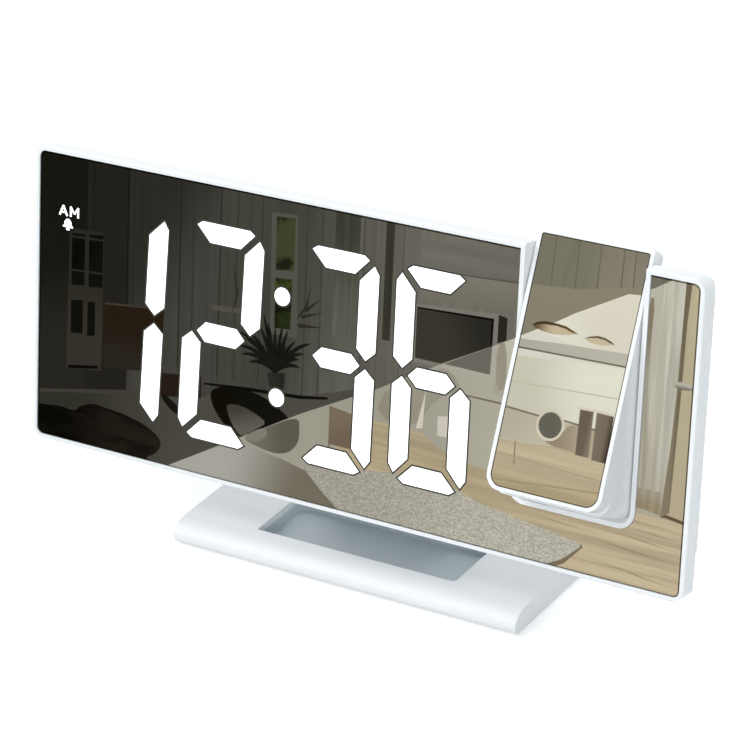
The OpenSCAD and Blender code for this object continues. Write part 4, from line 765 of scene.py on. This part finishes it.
# What the head's glass shows, in the head's own x and z
headRoom = [
    ("headCupboard", (200, 197, 178), [(45, 12), (45, 80), (82, 80), (82, 12)],
     {"scale": 10.0, "stretch": (0.3, 1, 5), "dim": 0.96, "fade": ((52, 42), (70, 46), (224, 222, 204))}),
    ("headHigh", (221, 216, 198), [(49, 51), (62, 59), (84, 72), (84, 51)],
     {"fade": ((66, 60), (58, 53), (224, 222, 206))}),
    ("headTop", (120, 117, 101), [(45, 63.3), (49.5, 63.5), (61.8, 64.5), (77.9, 66.1), (82, 66.5), (82, 80),
     (45, 80)], dict(panelled, dim=0.93, fade=((58, 70), (76, 70), (137, 130, 114)))),
    ("headBand", (136, 130, 111), [(45, 48.7), (49.7, 51.6), (57.9, 56.3), (62.0, 59.0), (78.6, 68.1), (77.9, 66.1),
     (61.8, 64.5), (49.5, 63.5), (45, 63.0)], {"scale": 12.0, "stretch": (0.3, 1, 5), "dim": 0.95}),
    ("ledgeTop", (216, 214, 200), [(40, 49.6), (49.7, 51.4), (54, 53.6), (59, 52.6), (66, 51.6), (84, 52.4),
     (84, 49.9), (40, 46)], {}),
    ("handleA", (196, 180, 150), [(51.9, 54.5), (55.1, 55.3), (60.5, 55.2), (63.6, 54.5), (60.3, 53.6), (57.4, 53.3),
     (54.7, 53.5), (52.5, 54.0)], {"fade": ((58, 54), (52, 54), (92, 72, 46))}),
    ("handleRimA", (72, 56, 36), [(51.6, 54.4), (53.1, 55.4), (55.1, 55.9), (58.0, 55.9), (60.5, 55.7), (62.3, 55.1),
     (64.0, 54.5), (62.0, 54.6), (60.4, 55.1), (58.0, 55.3), (55.2, 55.2), (53.4, 54.8)],
     {"scale": 60.0, "dim": 0.8, "fade": ((52, 55), (63, 55), (104, 86, 58))}),
    ("handleB", (202, 188, 158), [(65.8, 53.8), (68.9, 54.6), (72.3, 54.1), (73.4, 53.8), (70.5, 53.2), (67.4, 53.2)],
     {}),
    ("handleRimB", (96, 78, 50), [(65.4, 53.8), (67.0, 54.6), (68.9, 55.1), (70.7, 55.0), (72.4, 54.5), (73.8, 53.8),
     (72.2, 54.1), (70.6, 54.5), (68.8, 54.6), (67.0, 54.2)], {}),
    ("ledge", (176, 172, 159), [(40, 47.2), (40, 49.4), (49.6, 50.8), (60, 51.6), (84, 52.9), (84, 50.1),
     (78.1, 49.8), (49.4, 49.0)], {"fade": ((50, 50), (76, 51), (188, 184, 170))}),
    ("ledgeLine", (112, 103, 88), [(40, 47.4), (49.4, 49.0), (78.1, 49.8), (84, 50.1), (84, 49.7), (78.1, 49.4),
     (49.4, 48.6), (40, 47.0)], {}),
    ("cupboardJoint", (196, 189, 168), [(40, 40.4), (49.6, 41.0), (77.3, 42.4), (84, 42.8), (84, 42.5), (77.3, 42.1),
     (49.6, 40.7), (40, 40.1)], {}),
    ("lowCupboard", (182, 175, 156), [(40, 35.4), (48.6, 35.0), (58.4, 34.5), (72, 34.3), (84, 33.6), (84, 27),
     (73.1, 28.1), (64.1, 28.6), (53.4, 27.8), (40, 27.4)], {"fade": ((50, 32), (60, 29), (190, 183, 162))}),
    ("shadeC", (150, 136, 114), [(61.0, 29.9), (62.2, 28.6), (69.6, 27.9), (78.5, 27.4), (84, 27), (84, 33.6),
     (69.4, 34.4), (66.4, 34.0), (65.4, 32)], {"rounds": 1, "fade": ((64, 29), (72, 31), (176, 164, 142))}),
    ("lineA", (116, 107, 90), [(40, 35.3), (48.6, 35.2), (58.4, 34.7), (65.5, 34.9), (72.7, 34.5), (84, 33.9),
     (84, 33.5), (72.7, 34.1), (65.5, 34.5), (58.4, 34.3), (48.6, 34.8), (40, 34.9)], {}),
    ("headFloor", (194, 180, 150), [(45, 27.3), (45, 12), (82, 12), (82, 27.3), (78.5, 27.4), (73.1, 28.0),
     (64.1, 28.5), (53.4, 27.7), (49.8, 27.6)], dict(woodGrain, turn=2, dim=0.82,
     fade=((60, 24), (60, 17), (180, 164, 131)))),
    ("floorJoint", (132, 120, 98), [(53.7, 27.8), (54.0, 27.8), (54.9, 22.4), (54.6, 22.4)], {}),
    ("headLineA", (172, 158, 127), [(40, 24), (52, 24.4), (78.6, 23.4), (78.6, 23.1), (52, 24.0), (40, 23.6)], {}),
    ("headLineB", (162, 146, 116), [(40, 18), (52.1, 18.6), (78.7, 20.9), (78.7, 20.5), (52.1, 18.2), (40, 17.6)],
     {}),
    ("jarA", (108, 96, 82), [(69.6, 27.8), (68.4, 38.2), (71.9, 38.4), (73.0, 27.8)],
     {"scale": 20.0, "stretch": (5, 1, 1), "dim": 0.9, "fade": ((71, 32), (72.6, 32), (132, 120, 104))}),
    ("jarB", (122, 111, 96), [(73.9, 27.5), (72.7, 38.2), (77.1, 38.4), (78.1, 27.4)],
     {"scale": 20.0, "stretch": (5, 1, 1), "dim": 0.9, "fade": ((75.6, 32), (77.4, 32), (78, 66, 54))}),
    ("jarTops", (222, 213, 192), [(67.9, 38.0), (67.8, 38.7), (72.0, 38.8), (72.5, 38.8), (77.1, 38.8), (77.2, 38.1),
     (72.6, 38.2), (72.1, 38.2)], {}),
]
headSeams = {"at": (54.2, 60.4, 66.0, 72.0, 75.0), "foot": 58.45, "rise": 0.1, "top": 76, "lean": 1.2, "wide": 0.3}
dial = {"at": (61.8, 33.0), "dialRim": 3.6, "dialFace": 3.0, "steps": 32}
chair = [
    ("chair", (10, 9, 4), [(-39.3, 21.5), (-38.1, 23.0), (-34.5, 24.3), (-29.7, 24.5), (-25.5, 24.3), (-21.3, 23.2),
     (-17.4, 21.2), (-14.1, 18.8), (-12.8, 16.6), (-13.0, 14.0), (-15.0, 11.7), (-18.5, 10.5), (-22.0, 10.5),
     (-26.3, 11.3), (-29.3, 12.0), (-33.5, 13.4), (-36.7, 16.1), (-38.6, 18.8)],
     {"rounds": 2, "scale": 16.0, "dim": 1.9, "fade": ((-38, 20), (-20, 18), (13, 12, 9))}),
    ("chairHole", (98, 96, 85), [(-34.4, 19.4), (-32.6, 20.1), (-29.6, 20.2), (-25.3, 19.0), (-22.0, 17.4),
     (-25.2, 15.2), (-29.3, 12.2), (-31.4, 13.6), (-33.3, 16.3)],
     {"rounds": 1, "scale": 16.0, "dim": 0.85, "fade": ((-28, 14), (-30, 20), (66, 64, 56))}),
]
table = [(-41.2, 23.3), (-41.2, 23.8), (-32.4, 24.8), (-27.3, 25.3), (-12.6, 26.4), (-4.6, 27.6), (-4.6, 27.0),
         (-12.6, 25.5), (-27.3, 24.4), (-32.7, 24.0)]
plant = {"root": (-20.3, 30.6), "width": 1.15, "steps": 8, "bend": 0.45, "lift": 0.34, "stem": 0.28, "swell": 1.1,
         "taper": 0.8, "tips": [(-32.2, 35.2), (-30.6, 33.2), (-28.2, 31.6), (-27.8, 37.3), (-25.3, 41.9),
                                (-24.2, 45.1), (-20.6, 42.3), (-13.0, 35.3), (-13.2, 38.2), (-14.4, 39.8),
                                (-16.7, 42.1), (-29.6, 37.5), (-31.7, 38.9), (-25.2, 32.3), (-17.0, 32.9),
                                (-22.6, 43.0), (-18.4, 43.2), (-11.8, 37.0), (-12.6, 33.2), (-9.8, 40.0),
                                (-28.6, 39.6), (-26.6, 35.0), (-15.6, 35.6), (-23.4, 39.4), (-19.0, 39.0),
                                (-17.2, 38.4)]}


def leafOutlines(p):
    # narrow leaves that rise and then bend over
    root = Vector(p["root"])
    for tip in (Vector(t) for t in p["tips"]):
        bend = root + (tip - root) * p["bend"] + Vector((0, p["lift"] * abs(tip.x - root.x)))
        left, right = [], []
        for i in range(p["steps"] + 1):
            t = i / p["steps"]
            at = root * (1 - t) ** 2 + bend * 2 * t * (1 - t) + tip * t * t
            way = ((bend - root) * (1 - t) + (tip - bend) * t).normalized()
            half = p["width"] * (p["stem"] + p["swell"] * t) * (1 - t) ** p["taper"]
            side = Vector((-way.y, way.x)) * half
            left.append(tuple(at + side))
            right.append(tuple(at - side))
        yield left[:-1] + [tuple(tip)] + right[-2::-1]


tones = {"twig": (44, 44, 36), "pane": (17, 17, 12), "bar": (44, 42, 36), "table": (13, 12, 9), "leaf": (15, 17, 12),
         "line": (160, 144, 113), "headSeam": (104, 100, 86), "dialRim": (222, 214, 195), "dialFace": (106, 104, 92)}


def furnishDark(layer):
    for name, colour, points, look in darkRoom:
        hangCard(name, bodyPlace, layer, colour, points, **look)
        layer += 1
        if name == "wallRight":
            for i, (x, tone) in enumerate(darkSeams):
                foot, top, end = seamSpan["foot"], seamSpan["top"], x + seamSpan["wide"]
                seam = [(x, foot), (x, top), (end, top), (end, foot)]
                colour = tuple(tone - less for less in seamSpan["darker"])
                hangCard("seam%d" % i, bodyPlace, layer, colour, seam)
            layer += 1
        if name == "wallArt":
            for i, points in enumerate(twigs):
                hangCard("twig%d" % i, bodyPlace, layer + room["apart"] * i, tones["twig"], points)
            layer += 1
    for i, (x0, x1, z0, z1) in enumerate(doorPanes):
        pane = [(x0, z0), (x0, z1 - door["paneSlope"]), (x1, z1), (x1, z0 + door["paneSlope"])]
        hangCard("pane%d" % i, bodyPlace, layer, tones["pane"], pane, scale=50.0, low=0.45, dim=0.35)
    for i, (x0, x1, z) in enumerate(doorBars):
        end, thick = z + door["barSlope"], door["barThick"]
        bar = [(x0, z), (x0, z + thick), (x1, end + thick), (x1, end)]
        hangCard("bar%d" % i, bodyPlace, layer + door["barLift"], tones["bar"], bar)
    layer += 1
    for name, colour, points, look in chair:
        hangCard(name, bodyPlace, layer, colour, points, **look)
        layer += 1
    hangCard("table", bodyPlace, layer, tones["table"], table)
    layer += 1
    for i, points in enumerate(leafOutlines(plant)):
        hangCard("leaf%d" % i, bodyPlace, layer + room["apart"] * i, tones["leaf"], points, scale=60.0, dim=2.2)
    return layer + room["clear"]


def furnishLight(layer):
    for name, colour, points, look in lightRoom:
        hangCard(name, bodyPlace, layer, colour, points, **look)
        layer += 1
        if name == "woodFloor":
            for i, ((x0, z0), (x1, z1), w) in enumerate(woodLines):
                x, z = (x0 + x1) / 2, (z0 + z1) / 2
                hangCard("line%d" % i, bodyPlace, layer + room["apart"] * i, tones["line"],
                         [(x0, z0), (x, z + w / 2), (x1, z1), (x, z - w / 2)])
            layer += 1


def furnishHead():
    layer = 0
    for name, colour, points, look in headRoom:
        hangCard(name, headPlace, layer, colour, points, **look)
        layer += 1
        if name == "headTop":
            for i, x in enumerate(headSeams["at"]):
                foot, top = headSeams["foot"] + headSeams["rise"] * x, headSeams["top"]
                head, wide = x - headSeams["lean"], headSeams["wide"]
                seam = [(x, foot), (head, top), (head + wide, top), (x + wide, foot)]
                hangCard("headSeam%d" % i, headPlace, layer, tones["headSeam"], seam)
            layer += 1
    midX, midZ = dial["at"]
    turns = [i * 2 * math.pi / dial["steps"] for i in range(dial["steps"])]
    for name in ("dialRim", "dialFace"):
        ring = [(midX + dial[name] * math.cos(t), midZ + dial[name] * math.sin(t)) for t in turns]
        hangCard(name, headPlace, layer, tones[name], ring, scale=40.0, dim=0.85)
        layer += 1


# The head's pieces, whose own image is kept out of the glass beside it
headNodes = ("head_front", "head_mirror", "head_housing", "head_screws", "light_tube", "focus_ring", "lens_cell",
             "projection_lens", "condenser_lens", "lcd_slide", "head_led_board", "head_led", "head_lead")
furnishLight(furnishDark(0))
furnishHead()
for name, node in frame["nodes"].items():
    if name in headNodes:
        node.visible_glossy = False
print("clock: stage set")

bpy.context.scene.view_settings.view_transform = "Standard"
